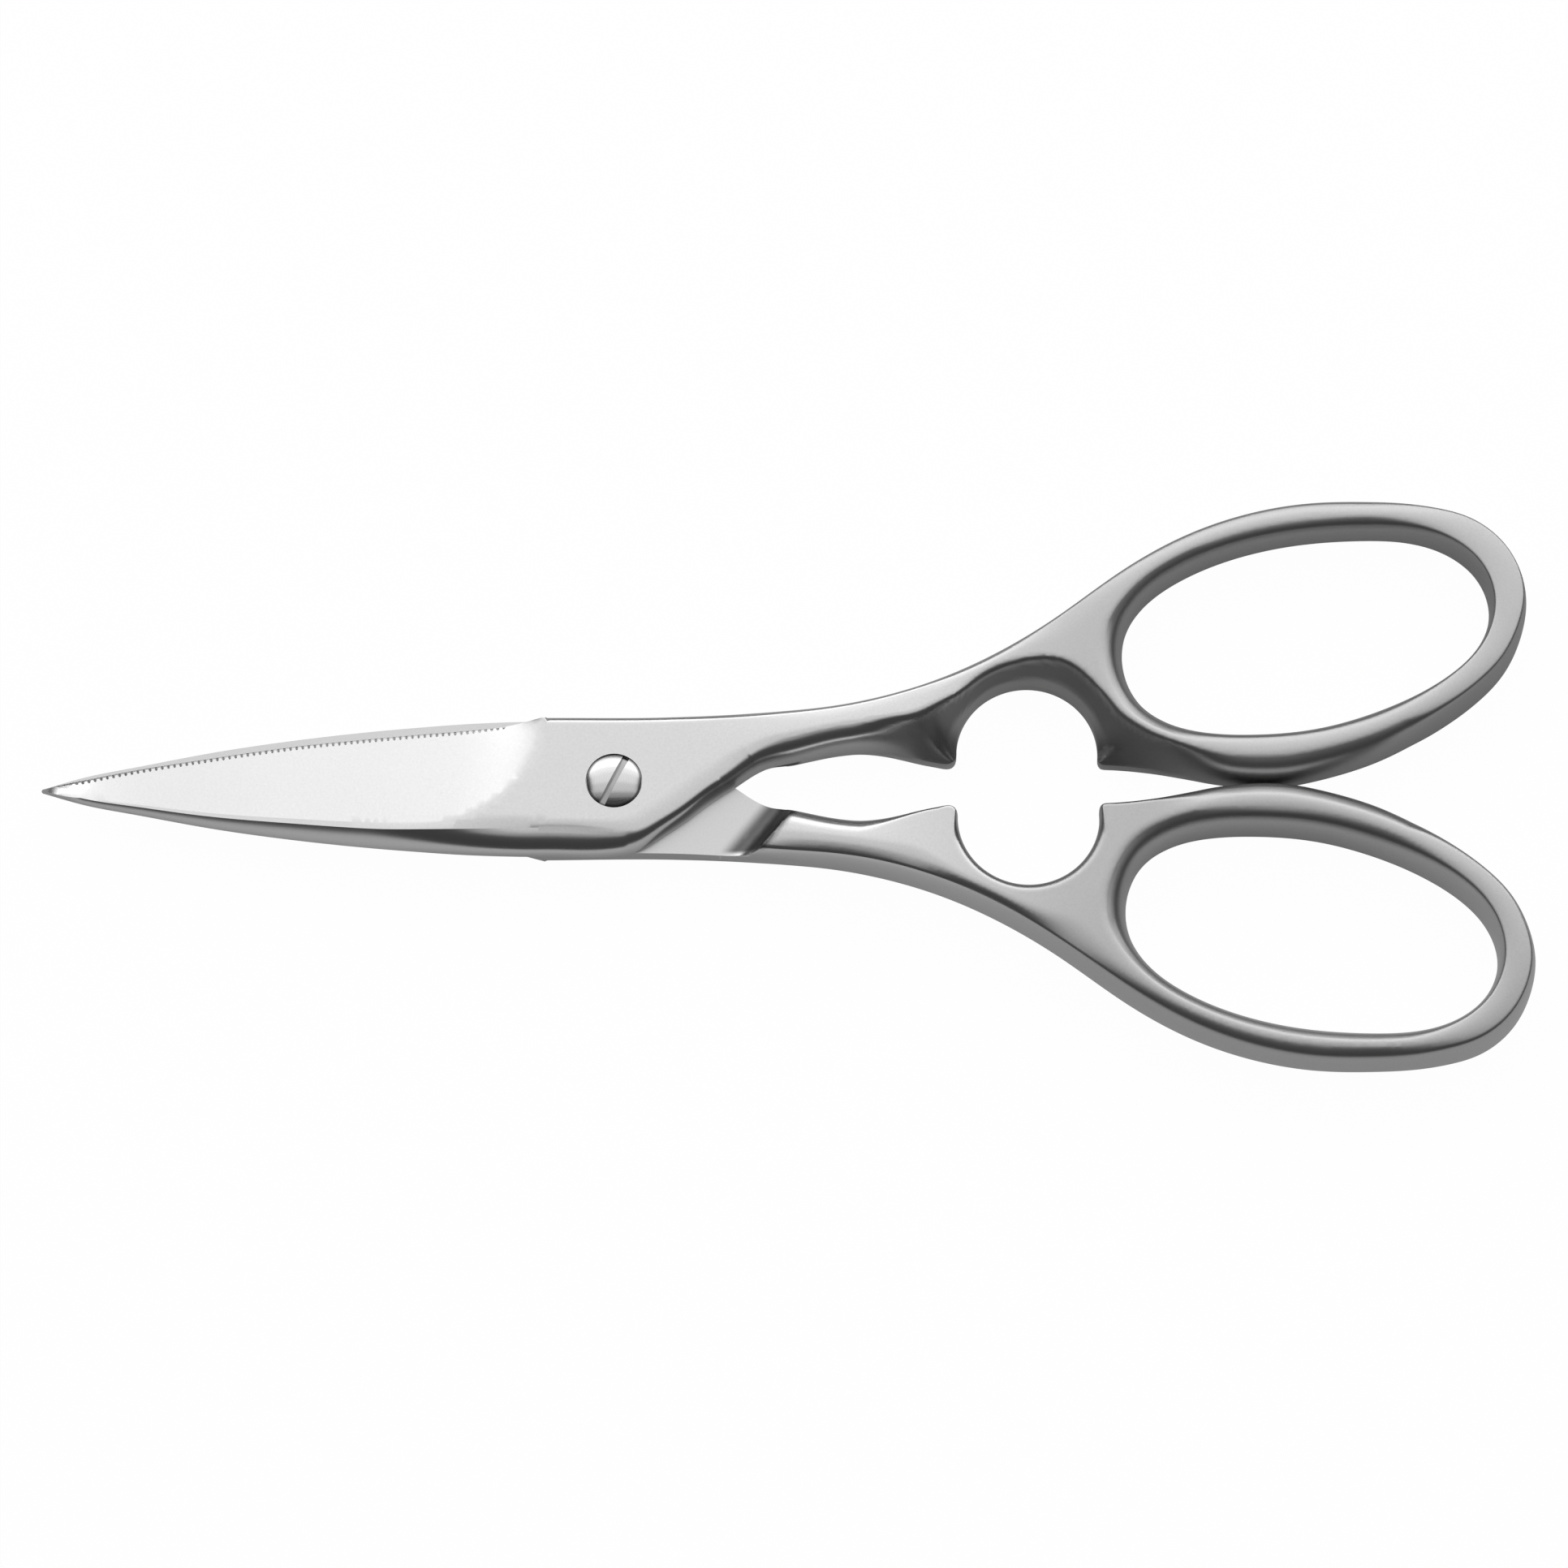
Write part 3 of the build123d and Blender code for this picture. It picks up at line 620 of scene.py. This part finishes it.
class Forging:
    """One half as a closed mesh: rounded walls round both outlines and a top and bottom between."""

    def __init__(self, seat_diameter, seat_z, teeth):
        self.seat_radius = seat_diameter / 2
        self.seat_z = seat_z
        hole = spline([share_of_handle(s) for s in HOLE_SHARES], closed=True)
        self.loops = [Loop(resample(points, loop_step)) for points in (outline(), hole[::-1])]
        half_widths(self.loops)
        set_outer_profiles(self.loops[0], teeth)
        set_hole_profiles(self.loops[1])
        self.vertices = []
        self.distances = []
        self.owners = []
        self.faces = []
        self.sharp = []
        self.build()

    def add(self, places, heights, distance=9.0, owner=0):
        """New vertices, each with its distance from the outline and the outline point it follows."""
        first = len(self.vertices)
        self.vertices.extend(np.column_stack([places, heights]).tolist())
        self.distances.extend(np.broadcast_to(distance, len(places)).tolist())
        self.owners.extend(np.broadcast_to(owner, len(places)).tolist())
        return np.arange(first, first + len(places))

    def nearest(self, places):
        """Distance to the outlines and the number of the nearest point on them."""
        points = np.vstack([loop.points for loop in self.loops])
        following = np.vstack([np.roll(loop.points, -1, axis=0) for loop in self.loops])
        index = np.empty(len(places), int)
        distance = np.empty(len(places))
        span = following - points
        length2 = (span**2).sum(1)
        for start in range(0, len(places), 500):
            part = places[start:start + 500]
            away = part[:, None, :] - points[None]
            t = np.clip((away * span).sum(2) / length2, 0, 1)
            gap = norm(away - t[..., None] * span, axis=2)
            index[start:start + 500] = gap.argmin(1)
            distance[start:start + 500] = gap.min(1)
        return distance, index

    def value(self, name, index):
        return np.concatenate([getattr(loop, name) for loop in self.loops])[index]

    def base_height(self, places):
        """Height of the handle's face, before its crown."""
        x, y = places.T
        rise = RICASSO_THICKNESS + (HALF_THICKNESS - RICASSO_THICKNESS) * ease(x, RAMP)
        fall = FAR_DROP * (np.maximum(y - FLAT_SPAN, 0) / (HALF_SPAN - FLAT_SPAN)) ** 2
        return rise - fall

    def flat_limits(self, x):
        """Where the hollow of the grind starts and ends across the blade."""
        spine_y = -SPINE_AT_RICASSO * curve_of(x, BLADE_X, BLADE_SPINE)
        edge_y = RICASSO_TOP * curve_of(x, BLADE_X, BLADE_EDGE)
        crease = spine_y + SPINE_BEVEL_WIDTH * curve_of(x, BLADE_X, BLADE_BACK)
        high = edge_y - EDGE_WIDTH
        return crease + curve_of(x, BLADE_X, BLADE_FLAT) * (high - crease), high

    def blade_height(self, places):
        """Height of the blade's face, which falls from the spine's crease to the cutting bevel."""
        x, y = places.T
        back = RICASSO_THICKNESS * curve_of(x, BLADE_X, BLADE_BACK)
        thin = RICASSO_THICKNESS * curve_of(x, BLADE_X, BLADE_THIN)
        thin *= EDGE_HEIGHT_SHARE + (1 - EDGE_HEIGHT_SHARE) * ease(x, THIN_SPAN)
        low, high = self.flat_limits(x)
        share = np.clip((y - low) / np.maximum(high - low, 0.01), 0, 1)
        return back + (thin - back) * share

    def crown_fall(self, crown, width_name, distance, index):
        """How far a crowned face lies below its middle."""
        width, half = self.value(width_name, index), self.value("half", index)
        reach = np.minimum(half, CROWN_REACH)
        inner = np.clip((distance - width) / np.maximum(reach - width, LEAST_CROWN_REACH), 0, 1)
        return crown * (1 - inner) ** 2

    def top_height(self, places, distance, index):
        fall = self.crown_fall(self.value("crown", index), "top_width", distance, index)
        height = self.base_height(places) - fall
        blade = self.blade_height(places) - fall
        return np.where(places[:, 0] < -RICASSO_REACH, np.minimum(blade, height), height)

    def bottom_height(self, places, distance, index):
        crown = self.value("bottom_crown", index) * (1 - self.value("lug", index))
        return -(self.base_height(places) - self.crown_fall(crown, "bottom_width", distance, index))

    def with_slope(self, height, places, distance, index):
        """Cuts the lugs' slope out of the top."""
        lug = lug_weight(*places.T) * (1 - self.value("is_hole", index) * (distance < HOLE_RIM))
        slope, nearer = lug_slope(places, self.base_height(places), LUG_EDGE_Z * lug)
        cut = soft_min(height, slope, CREASE_SOFTNESS * np.clip(nearer / CREASE_REACH, 0, 1))
        return height + lug * (cut - height)

    def with_cove(self, height, places):
        """Clears the other half's blade below, up to the concave shoulder."""
        along = (places - SHOULDER_FOOT) @ SHOULDER_NORMAL
        inside = np.clip(along, 0, COVE_RADIUS)
        cove = BLADE_GAP - (COVE_RADIUS - np.sqrt(COVE_RADIUS**2 - inside**2))
        beyond = -COVE_RADIUS - COVE_STEEPNESS * (along - COVE_RADIUS)
        cove = np.where(along > COVE_RADIUS, beyond, cove)
        return -soft_min(-height, -cove, np.where(along > 0, COVE_SOFTNESS, 0))

    def own_points(self, loop):
        """The numbers of a loop's points among those of both loops."""
        return np.arange(loop.count) + (0 if loop is self.loops[0] else self.loops[0].count)

    def wall(self, loop, side):
        """Rows of points from the outline in to where the top or bottom begins."""
        own = self.own_points(loop)
        if side > 0:
            width, recess, rounding = loop.top_width, NOTCH_DEPTH * loop.scallop, loop.rounding
            height_at, cut = self.top_height, self.with_slope
        else:
            width, recess = loop.bottom_width, 0
            rounding = loop.rounding - (loop.rounding - LUG_ROUNDING) * loop.lug
            height_at = self.bottom_height
            cut = lambda heights, places, *_: self.with_cove(heights, places)
        inner_z = height_at(loop.points + loop.inward * width[:, None], width, own)
        full_turn = np.radians(np.full(loop.count, float(WALL_TURN)))
        rows = []
        for j in range(1, WALL_ROWS + 1):
            t = j / WALL_ROWS
            turn = full_turn * (j - 1) / (WALL_ROWS - 1)
            round_in = (1 - np.cos(turn)) / (1 - np.cos(full_turn))
            round_up = 1 - rounding + rounding * np.sin(turn) / np.sin(full_turn)
            across = loop.roundness * round_in + (1 - loop.roundness) * t
            up = loop.roundness * round_up + (1 - loop.roundness) * t
            places = loop.points + loop.inward * (width * across + recess * (1 - t))[:, None]
            heights = loop.start_z + (inner_z - loop.start_z) * up
            distance = width * across
            rows.append(self.add(places, cut(heights, places, distance, own), distance, own))
        return rows

    def strip(self, a, b, flip):
        """Faces between two closed rows of vertices."""
        for i in range(len(a)):
            k = (i + 1) % len(a)
            quad = [a[i], a[k], b[k], b[i]]
            self.faces.append([int(v) for v in (quad[::-1] if flip else quad)])

    def sharpen(self, ring, chosen=None):
        """Marks the edges of a closed row of vertices that start at the chosen ones."""
        for i in range(len(ring)) if chosen is None else np.flatnonzero(chosen):
            self.sharp.append((int(ring[i]), int(ring[(i + 1) % len(ring)])))

    def build(self):
        outer = self.loops[0]
        rims, pivot_rims = [], []
        for loop in self.loops:
            rim_z = self.with_cove(loop.start_z, loop.points) if loop is outer else loop.start_z
            places = loop.points + loop.inward * (NOTCH_DEPTH * loop.scallop)[:, None]
            rims.append(self.add(places, rim_z, 0.0, self.own_points(loop)))
        for side in (1, -1):
            rings = []
            for loop, rim in zip(self.loops, rims):
                previous = rim
                for row in self.wall(loop, side):
                    self.strip(previous, row, flip=side > 0)
                    previous = row
                rings.append(previous)
            if side > 0:
                self.sharpen(rings[0], outer.points[:, 0] < -RICASSO_REACH - SHARP_MARGIN)
            else:
                self.sharpen(rims[0], outer.points[:, 0] < SHARP_FACE_END)
            pivot_rims.append(self.fill(rings, side))
        self.pivot_walls(*pivot_rims)
        self.weld()

    def weld(self):
        """Joins vertices that share a place and drops the faces that this closes up."""
        grid = np.round(np.array(self.vertices) / WELD_GAP).astype(np.int64)
        _, first, group = np.unique(grid, axis=0, return_index=True, return_inverse=True)
        order = np.argsort(first)
        rank = np.empty(len(first), int)
        rank[order] = np.arange(len(first))
        target = rank[group.ravel()]
        kept = first[order]
        for name in ("vertices", "distances", "owners"):
            setattr(self, name, [getattr(self, name)[i] for i in kept])
        self.sharp = [(int(target[a]), int(target[b])) for a, b in self.sharp]
        faces = []
        for face in self.faces:
            corners = list(dict.fromkeys(int(target[v]) for v in face))
            if len(corners) > 2:
                faces.append(corners)
            elif len(corners) == 2:
                self.sharp.append(tuple(corners))
        self.faces = faces

    def lattice(self, step, low, high):
        """Points at the corners of equal triangles that fill a rectangle."""
        xs = np.arange(low[0], high[0], step)
        ys = np.arange(low[1], high[1], step * math.sqrt(0.75))
        grid_x, grid_y = np.meshgrid(xs, ys)
        grid_x = grid_x + (np.arange(len(ys)) % 2)[:, None] * step / 2
        return np.column_stack([grid_x.ravel(), grid_y.ravel()])

    def creases(self, side):
        """Lines of points along the blade's grind on the top and along the cove on the bottom."""
        if side > 0:
            xs = np.arange(-RICASSO_REACH, GRIND_END, -GRIND_STEP)
            return [np.column_stack([xs, self.flat_limits(xs)[0]])]
        across = np.array([-SHOULDER_NORMAL[1], SHOULDER_NORMAL[0]])
        along = np.arange(-COVE_REACH, COVE_REACH, COVE_STEP)
        lines = []
        for turn in np.radians(np.arange(0, 91, 9)):
            foot = np.array(SHOULDER_FOOT) + SHOULDER_NORMAL * (COVE_RADIUS * math.sin(turn))
            lines.append(foot + along[:, None] * across)
        return lines

    def fill(self, rings, side):
        """Triangles between the walls' inner rows. Their heights are those of the smooth surfaces."""
        all_vertices = np.array(self.vertices)
        boundary = [all_vertices[ring, :2] for ring in rings]
        if side > 0:
            radius, level, width_name = self.seat_radius, RICASSO_THICKNESS, "top_width"
        else:
            radius, level, width_name = SHANK_BORE / 2, BLADE_GAP, "bottom_width"
        pivot_rim = self.add(circle(radius), np.full(PIVOT_SIDES, level))
        places, ids, edges, creased = [], [], [], []
        for ring, points in zip(rings + [pivot_rim], boundary + [circle(radius)]):
            first = len(places)
            places.extend(points.tolist())
            ids.extend(ring.tolist())
            edges.extend([(first + i, first + (i + 1) % len(ring)) for i in range(len(ring))])

        def usable(points, margin):
            """The points inside the face that are clear of its walls and of the pivot."""
            inside = in_polygon(points, boundary[0]) & ~in_polygon(points, boundary[1])
            inside &= norm(points, axis=1) > radius + margin
            kept = points[inside]
            distance, index = self.nearest(kept)
            return kept[distance > self.value(width_name, index) + margin]

        drawn = []
        for line in self.creases(side):
            kept = usable(line, LINE_MARGIN)
            first = len(places)
            for i in range(len(kept) - 1):
                if norm(kept[i + 1] - kept[i]) < LINE_JUMP:
                    edges.append((first + i, first + i + 1))
                    if side > 0 and kept[i][0] < GRIND_CREASE_END:
                        creased.append((first + i, first + i + 1))
            places.extend(kept.tolist())
            drawn.append(kept)
        for loop in self.loops:
            for offset in INNER_ROWS:
                row = loop.points + loop.inward * (getattr(loop, width_name) + offset)[:, None]
                kept = spaced(usable(row[row[:, 0] > INNER_ROWS_START], LINE_MARGIN), ROW_GAP)
                places.extend(kept.tolist())
                drawn.append(kept)
        drawn = np.vstack(drawn)
        corner, blade_corner = -RICASSO_REACH + LATTICE_START, -RICASSO_REACH - SHARP_MARGIN
        for step, low, high in (
            (LATTICE_STEP, (corner, -BLADE_SIDE), (HANDLE_REACH, HALF_SPAN)),
            (BLADE_LATTICE_STEP, (-BLADE_REACH, -BLADE_SIDE), (blade_corner, BLADE_SIDE)),
        ):
            kept = usable(self.lattice(step, low, high), LATTICE_MARGIN)
            clear = np.ones(len(kept), bool)
            for start in range(0, len(kept), 1000):
                gap = norm(kept[start:start + 1000][:, None] - drawn[None], axis=2).min(1)
                clear[start:start + 1000] = gap > POINT_GAP
            places.extend(kept[clear].tolist())

        places = np.array(places)
        known = len(ids)
        distance, index = self.nearest(places)
        if side > 0:
            heights = self.with_slope(self.top_height(places, distance, index), places, distance, index)
        else:
            heights = self.with_cove(self.bottom_height(places, distance, index), places)
        ids.extend(self.add(places[known:], heights[known:], distance[known:], index[known:]).tolist())
        self.sharp.extend((ids[a], ids[b]) for a, b in creased)

        flat = [Vector(p) for p in places.tolist()]
        points, _, triangles, origin, _, _ = delaunay_2d_cdt(flat, edges, [], 0, 1e-7)
        centres = np.array([[sum(points[v][k] for v in tri) / 3 for k in (0, 1)] for tri in triangles])
        keep = in_polygon(centres, boundary[0]) & ~in_polygon(centres, boundary[1])
        keep &= norm(centres, axis=1) > radius * 0.999
        for tri, good in zip(triangles, keep):
            if good and all(origin[v] for v in tri):
                face = [ids[origin[v][0]] for v in tri]
                self.faces.append(face if side > 0 else face[::-1])
        return pivot_rim

    def pivot_walls(self, seat_rim, bore_rim):
        """The recess for the screw head or nut and the bore under it."""
        level = np.full(PIVOT_SIDES, self.seat_z)
        floor = self.add(circle(self.seat_radius), level)
        lip = self.add(circle(SHANK_BORE / 2), level)
        rings = (seat_rim, floor, lip, bore_rim)
        for upper, lower in zip(rings, rings[1:]):
            self.strip(upper, lower, False)
        for ring in rings:
            self.sharpen(ring)

    def masks(self):
        """How much of the recesses' painted shade and rougher finish, and of the ground inner face, each
        vertex belongs to.
        """
        vertices = np.array(self.vertices)
        places, x, y, z = vertices[:, :2], *vertices.T
        distance, index = np.array(self.distances), np.array(self.owners)
        outer = self.value("is_outer", index) > 0.5
        other_wall = (outer | (self.value("is_hole", index) > 0.5)) & (distance < OTHER_WALL)
        below = self.base_height(places) - z
        # Painted shade on the lugs' slopes: none on the walls of the outside and the hole, and less on
        # the bite's high rim
        recess = lug_weight(x, y) * ease(below, RECESS_DEPTH) * ease(z, RECESS_Z)
        recess = np.where(other_wall, 0, recess)
        from_bite = norm(places - GRIP_CENTRE, axis=1) - GRIP_RADIUS
        high = ease(y, (GRIP_CENTRE[1], GRIP_CENTRE[1] + RIM_HEIGHT))
        rim = (1 - ease(from_bite, RIM_REACH)) * high
        recess *= 1 - rim * (1 - ease(z, RIM_Z))
        # Painted shade in the cove as well, added to the recess mask
        along = (places - SHOULDER_FOOT) @ SHOULDER_NORMAL
        cove = ease(along, COVE_FADES[0]) * (1 - ease(along, COVE_FADES[1]))
        cove *= (z < INNER_TOP) * (x < COVE_X) * ease(z, COVE_Z)
        cove *= np.where(outer, ease(distance, COVE_EDGE), 1)
        inner = ease(z, INNER_Z) * (z < INNER_TOP) * (x < INNER_X)
        return {"recess": np.maximum(recess, COVE_PAINTED_SHADE * cove), "inner": inner}


def new_object(name, data):
    piece = bpy.data.objects.new(name, data)
    bpy.context.scene.collection.objects.link(piece)
    return piece


def make_object(name, forging, turned_over):
    """A half of the shears from its forging, in metres and in its place."""
    vertices = np.array(forging.vertices)
    if turned_over:
        vertices = vertices * np.array([1, -1, -1])
    middle = (HANDLE_REACH - BLADE_REACH) / 2
    vertices = (vertices + np.array([-middle, 0, HALF_THICKNESS])) * MM
    mesh = bpy.data.meshes.new(name)
    mesh.from_pydata(vertices.tolist(), [], forging.faces)
    mesh.update()
    mesh.shade_smooth()
    sharp = {tuple(sorted(edge)) for edge in forging.sharp}
    flags = np.array([tuple(sorted(edge.vertices)) in sharp for edge in mesh.edges])
    attribute = mesh.attributes.get("sharp_edge") or mesh.attributes.new("sharp_edge", "BOOLEAN", "EDGE")
    attribute.data.foreach_set("value", flags)
    for mask, values in forging.masks().items():
        mesh.attributes.new(mask, "FLOAT", "POINT").data.foreach_set("value", values.astype(np.float32))
    return new_object(name, mesh)


# Materials
class Look:
    """A material and short ways to add nodes to it."""

    def __init__(self, name):
        self.material = bpy.data.materials.new(name)
        self.material.use_nodes = True
        self.nodes = self.material.node_tree.nodes
        self.shader = self.nodes["Principled BSDF"]

    def put(self, node, **inputs):
        """Sets a node's inputs, named with _ for a space, to a value or links them to an output."""
        for name, value in inputs.items():
            self.put_at(node.inputs[name.replace("_", " ")], value)

    def put_at(self, socket, value):
        if isinstance(value, bpy.types.NodeSocket):
            self.material.node_tree.links.new(value, socket)
        else:
            socket.default_value = value

    def node(self, kind, *values, **settings):
        """A new node with its settings and its first inputs."""
        node = self.nodes.new("ShaderNode" + kind)
        for name, value in settings.items():
            setattr(node, name, value)
        for socket, value in zip(node.inputs, values):
            self.put_at(socket, value)
        return node

    def place(self):
        return self.node("TexCoord").outputs["Object"]

    def math(self, operation, *values):
        return self.node("Math", *values, operation=operation).outputs[0]

    def vector(self, operation, *values):
        return self.node("VectorMath", *values, operation=operation).outputs

    def blend(self, factor, low, high):
        """A value that goes from low to high with a factor."""
        return self.math("MULTIPLY_ADD", factor, high - low, low)

    def masked(self, value, mask, share):
        """The value scaled down by a share where the mask is 1."""
        return self.math("MULTIPLY", value, self.math("MULTIPLY_ADD", mask, -share, 1.0))

    def ramp(self, value, span, low=0.0, high=1.0, kind="SMOOTHSTEP"):
        """Goes from low to high while the value crosses a span."""
        node = self.node("MapRange", value, *span, low, high, interpolation_type=kind)
        return node.outputs[0]

    def noise(self, place, scale, detail):
        node = self.node("TexNoise", place)
        self.put(node, Scale=scale, Detail=detail)
        return node.outputs["Fac"]

    def bump(self, height, strength, distance):
        node = self.node("Bump")
        self.put(node, Height=height, Strength=strength, Distance=distance)
        self.put(self.shader, Normal=node.outputs["Normal"])


def steel(name):
    """Stainless steel, polished at the ricasso and blasted to a satin on the bows, with painted shade in
    the recesses and the cove.
    """
    look = Look(name)
    place = look.place()
    satin = look.ramp(look.node("SeparateXYZ", place).outputs["X"], SATIN)
    recess = look.node("Attribute", attribute_name="recess").outputs["Fac"]
    inner = look.node("Attribute", attribute_name="inner").outputs["Fac"]
    cloud = look.noise(place, CLOUD_SCALE, 4)
    grain = look.noise(place, GRAIN_SCALE, 2)

    wander = look.blend(cloud, -CLOUD_TONE, CLOUD_TONE)
    speck = look.blend(grain, -GRAIN_TONE, GRAIN_TONE)
    tone = look.blend(satin, POLISHED_TONE, SATIN_TONE)
    tone = look.math("ADD", tone, look.math("ADD", wander, speck))
    # Painted shade: the tone is darkened by the recess mask; the ground inner face has its own slightly
    # darker tone
    tone = look.masked(look.masked(tone, recess, RECESS_PAINTED_SHADE), inner, INNER_SHARE)

    rough = look.blend(satin, POLISHED_ROUGHNESS, SATIN_ROUGHNESS)
    rough = look.math("ADD", rough, look.blend(cloud, -CLOUD_ROUGHNESS, CLOUD_ROUGHNESS))
    rough = look.math("ADD", rough, look.blend(inner, 0, INNER_ROUGHNESS))
    rough = look.math("ADD", rough, look.blend(recess, 0, RECESS_ROUGHNESS))
    look.put(look.shader, Metallic=1.0, Base_Color=tone, Roughness=rough)
    look.bump(grain, look.blend(satin, POLISHED_GRAIN, SATIN_GRAIN), GRAIN_HEIGHT)
    return look.material


def turned_steel(name, base, roughness, slot_painted_shade=0.0, rim_painted_shade=0.0, dome=0.0):
    """Plain turned steel with fine rings round the pivot, and painted shade in the head's slot and at
    its rim where shares for them are given.
    """
    look = Look(name)
    place = look.place()
    around = look.vector("SUBTRACT", place, (PIVOT.x, PIVOT.y, 0))[0]
    rings = look.node("TexWave", around, wave_type="RINGS", rings_direction="Z")
    look.put(rings, Scale=RING_SCALE, Distortion=RING_WANDER)
    rings = rings.outputs["Fac"]
    low, high = roughness * (1 - RING_ROUGHNESS), roughness * (1 + RING_ROUGHNESS)
    rough = look.ramp(rings, (0.0, 1.0), low, high, "LINEAR")

    # Painted shade in the screw head's slot, only above the pivot's middle
    across = (-math.sin(SLOT_ANGLE), math.cos(SLOT_ANGLE), 0)
    off_slot = look.math("ABSOLUTE", look.vector("DOT_PRODUCT", around, across)["Value"])
    head = look.math("GREATER_THAN", look.node("SeparateXYZ", place).outputs["Z"], PIVOT.z)
    in_slot = look.math("MULTIPLY", look.math("LESS_THAN", off_slot, SLOT_HALF), head)
    flat = look.vector("MULTIPLY", around, (1, 1, 0))[0]
    radius = look.vector("LENGTH", flat)["Value"]
    # Painted shade: the slot darkened, then a dark ring at the head's rim
    tone = look.masked(look.blend(rings, base * RING_TONE, base), in_slot, slot_painted_shade)
    tone = look.masked(tone, look.ramp(radius, RIM), rim_painted_shade)
    look.put(look.shader, Metallic=1.0, Base_Color=tone, Roughness=rough)
    squared = look.math("MULTIPLY", radius, radius)
    look.bump(look.math("MULTIPLY", squared, -dome / (HEAD_DIAMETER * MM)), 1.0, 1.0)
    return look.material


PIVOT = Vector((-(HANDLE_REACH - BLADE_REACH) / 2 * MM, 0, HALF_THICKNESS * MM))
forged = steel("forged_stainless_steel")
screw_steel = turned_steel("screw_steel", 0.64, 0.2, slot_painted_shade=0.35, rim_painted_shade=0.65, dome=0.24)
washer_steel = turned_steel("washer_steel", 0.45, 0.3)


# The two halves
front_forging = Forging(HEAD_DIAMETER + 2 * HEAD_CLEARANCE, SCREW_SEAT_Z, True)
front = make_object("front_half_forging", front_forging, False)
rear_forging = Forging(NUT_RECESS_DIAMETER, NUT_SEAT_Z, False)
rear = make_object("rear_half_forging", rear_forging, True)
for piece, body, node in ((front, "front", "front_half"), (rear, "rear", "rear_half")):
    piece.data.materials.append(forged)
    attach(piece, body)
    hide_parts(node)

turned = {"pivot_screw": screw_steel, "friction_washer": washer_steel, "pivot_nut": screw_steel}
for node, material in turned.items():
    mesh = frame["nodes"][node].data
    mesh.materials.clear()
    mesh.materials.append(material)


# Floor, light and camera
def floor():
    """A pale floor that takes the shears' shadow and shows white to the camera."""
    corners = [(x * FLOOR_HALF, y * FLOOR_HALF, 0) for x, y in ((-1, -1), (1, -1), (1, 1), (-1, 1))]
    mesh = bpy.data.meshes.new("floor")
    mesh.from_pydata(corners, [], [(0, 1, 2, 3)])
    look = Look("floor_white")
    look.put(look.shader, Base_Color=(FLOOR_TONE, FLOOR_TONE, FLOOR_TONE, 1))
    look.put(look.shader, Roughness=FLOOR_ROUGHNESS, Specular_IOR_Level=0.0)
    glow = look.node("Emission")
    look.put(glow, Strength=FLOOR_GLOW)
    path = look.node("LightPath").outputs
    mirrored = look.math("MAXIMUM", path["Is Glossy Ray"], path["Is Transmission Ray"])
    direct = look.math("MULTIPLY", path["Is Camera Ray"], CAMERA_GLOW)
    # Painted shade in reflections: the glow the steel sees is dimmer from Y 0 towards +Y and beyond 0.25
    # m towards -Y
    y = look.node("SeparateXYZ", look.place()).outputs["Y"]
    near = look.ramp(y, MIRROR_NEAR, MIRROR_GLOW_FAR, MIRROR_GLOW_NEAR)
    distant = look.ramp(y, MIRROR_FADE, MIRROR_DISTANT, 1.0)
    mirrored = look.math("MULTIPLY", mirrored, look.math("MULTIPLY", near, distant))
    share = look.math("MAXIMUM", direct, mirrored)
    mix = look.node("MixShader", share, look.shader.outputs[0], glow.outputs[0])
    look.put(look.nodes["Material Output"], Surface=mix.outputs[0])
    mesh.materials.append(look.material)
    new_object("floor", mesh)


def softbox(name, low, high, brightness):
    """A long panel over the shears, from one angle to another off the vertical towards +Y."""
    middle = math.radians((low + high) / 2)
    width = 2 * SOFTBOX_DISTANCE * math.tan(math.radians(high - low) / 2)
    data = bpy.data.lights.new(name, "AREA")
    data.shape = "RECTANGLE"
    data.size, data.size_y = SOFTBOX_LENGTH, width
    data.energy = math.pi * SOFTBOX_LENGTH * width * brightness
    piece = new_object(name, data)
    piece.location = (0, SOFTBOX_DISTANCE * math.sin(middle), SOFTBOX_DISTANCE * math.cos(middle))
    piece.rotation_euler = (-middle, 0, 0)


def world():
    data = bpy.data.worlds.new("studio")
    bpy.context.scene.world = data
    data.use_nodes = True
    background = data.node_tree.nodes["Background"]
    background.inputs["Color"].default_value = (1, 1, 1, 1)
    background.inputs["Strength"].default_value = WORLD_STRENGTH


def camera():
    back = Vector((0, -math.sin(CAMERA_TILT), math.cos(CAMERA_TILT)))
    level_up = Vector((0, math.cos(CAMERA_TILT), math.sin(CAMERA_TILT)))
    right = math.cos(CAMERA_ROLL) * Vector((1, 0, 0)) - math.sin(CAMERA_ROLL) * level_up
    up = math.sin(CAMERA_ROLL) * Vector((1, 0, 0)) + math.cos(CAMERA_ROLL) * level_up
    centre = Vector((VIEW_X, 0, HALF_THICKNESS * MM)) + level_up * VIEW_UP
    data = bpy.data.cameras.new("camera")
    data.sensor_width = SENSOR
    data.lens = SENSOR * CAMERA_DISTANCE / (IMAGE_WIDTH / PIXELS_PER_MM * MM)
    data.clip_start, data.clip_end = CAMERA_RANGE
    piece = new_object("camera", data)
    rotation = Matrix((right, up, back)).transposed()
    piece.matrix_world = Matrix.Translation(centre + back * CAMERA_DISTANCE) @ rotation.to_4x4()
    bpy.context.scene.camera = piece


floor()
world()
camera()
for name, panel in SOFTBOXES.items():
    softbox(name, *panel)
bpy.context.scene.view_settings.view_transform = "Standard"
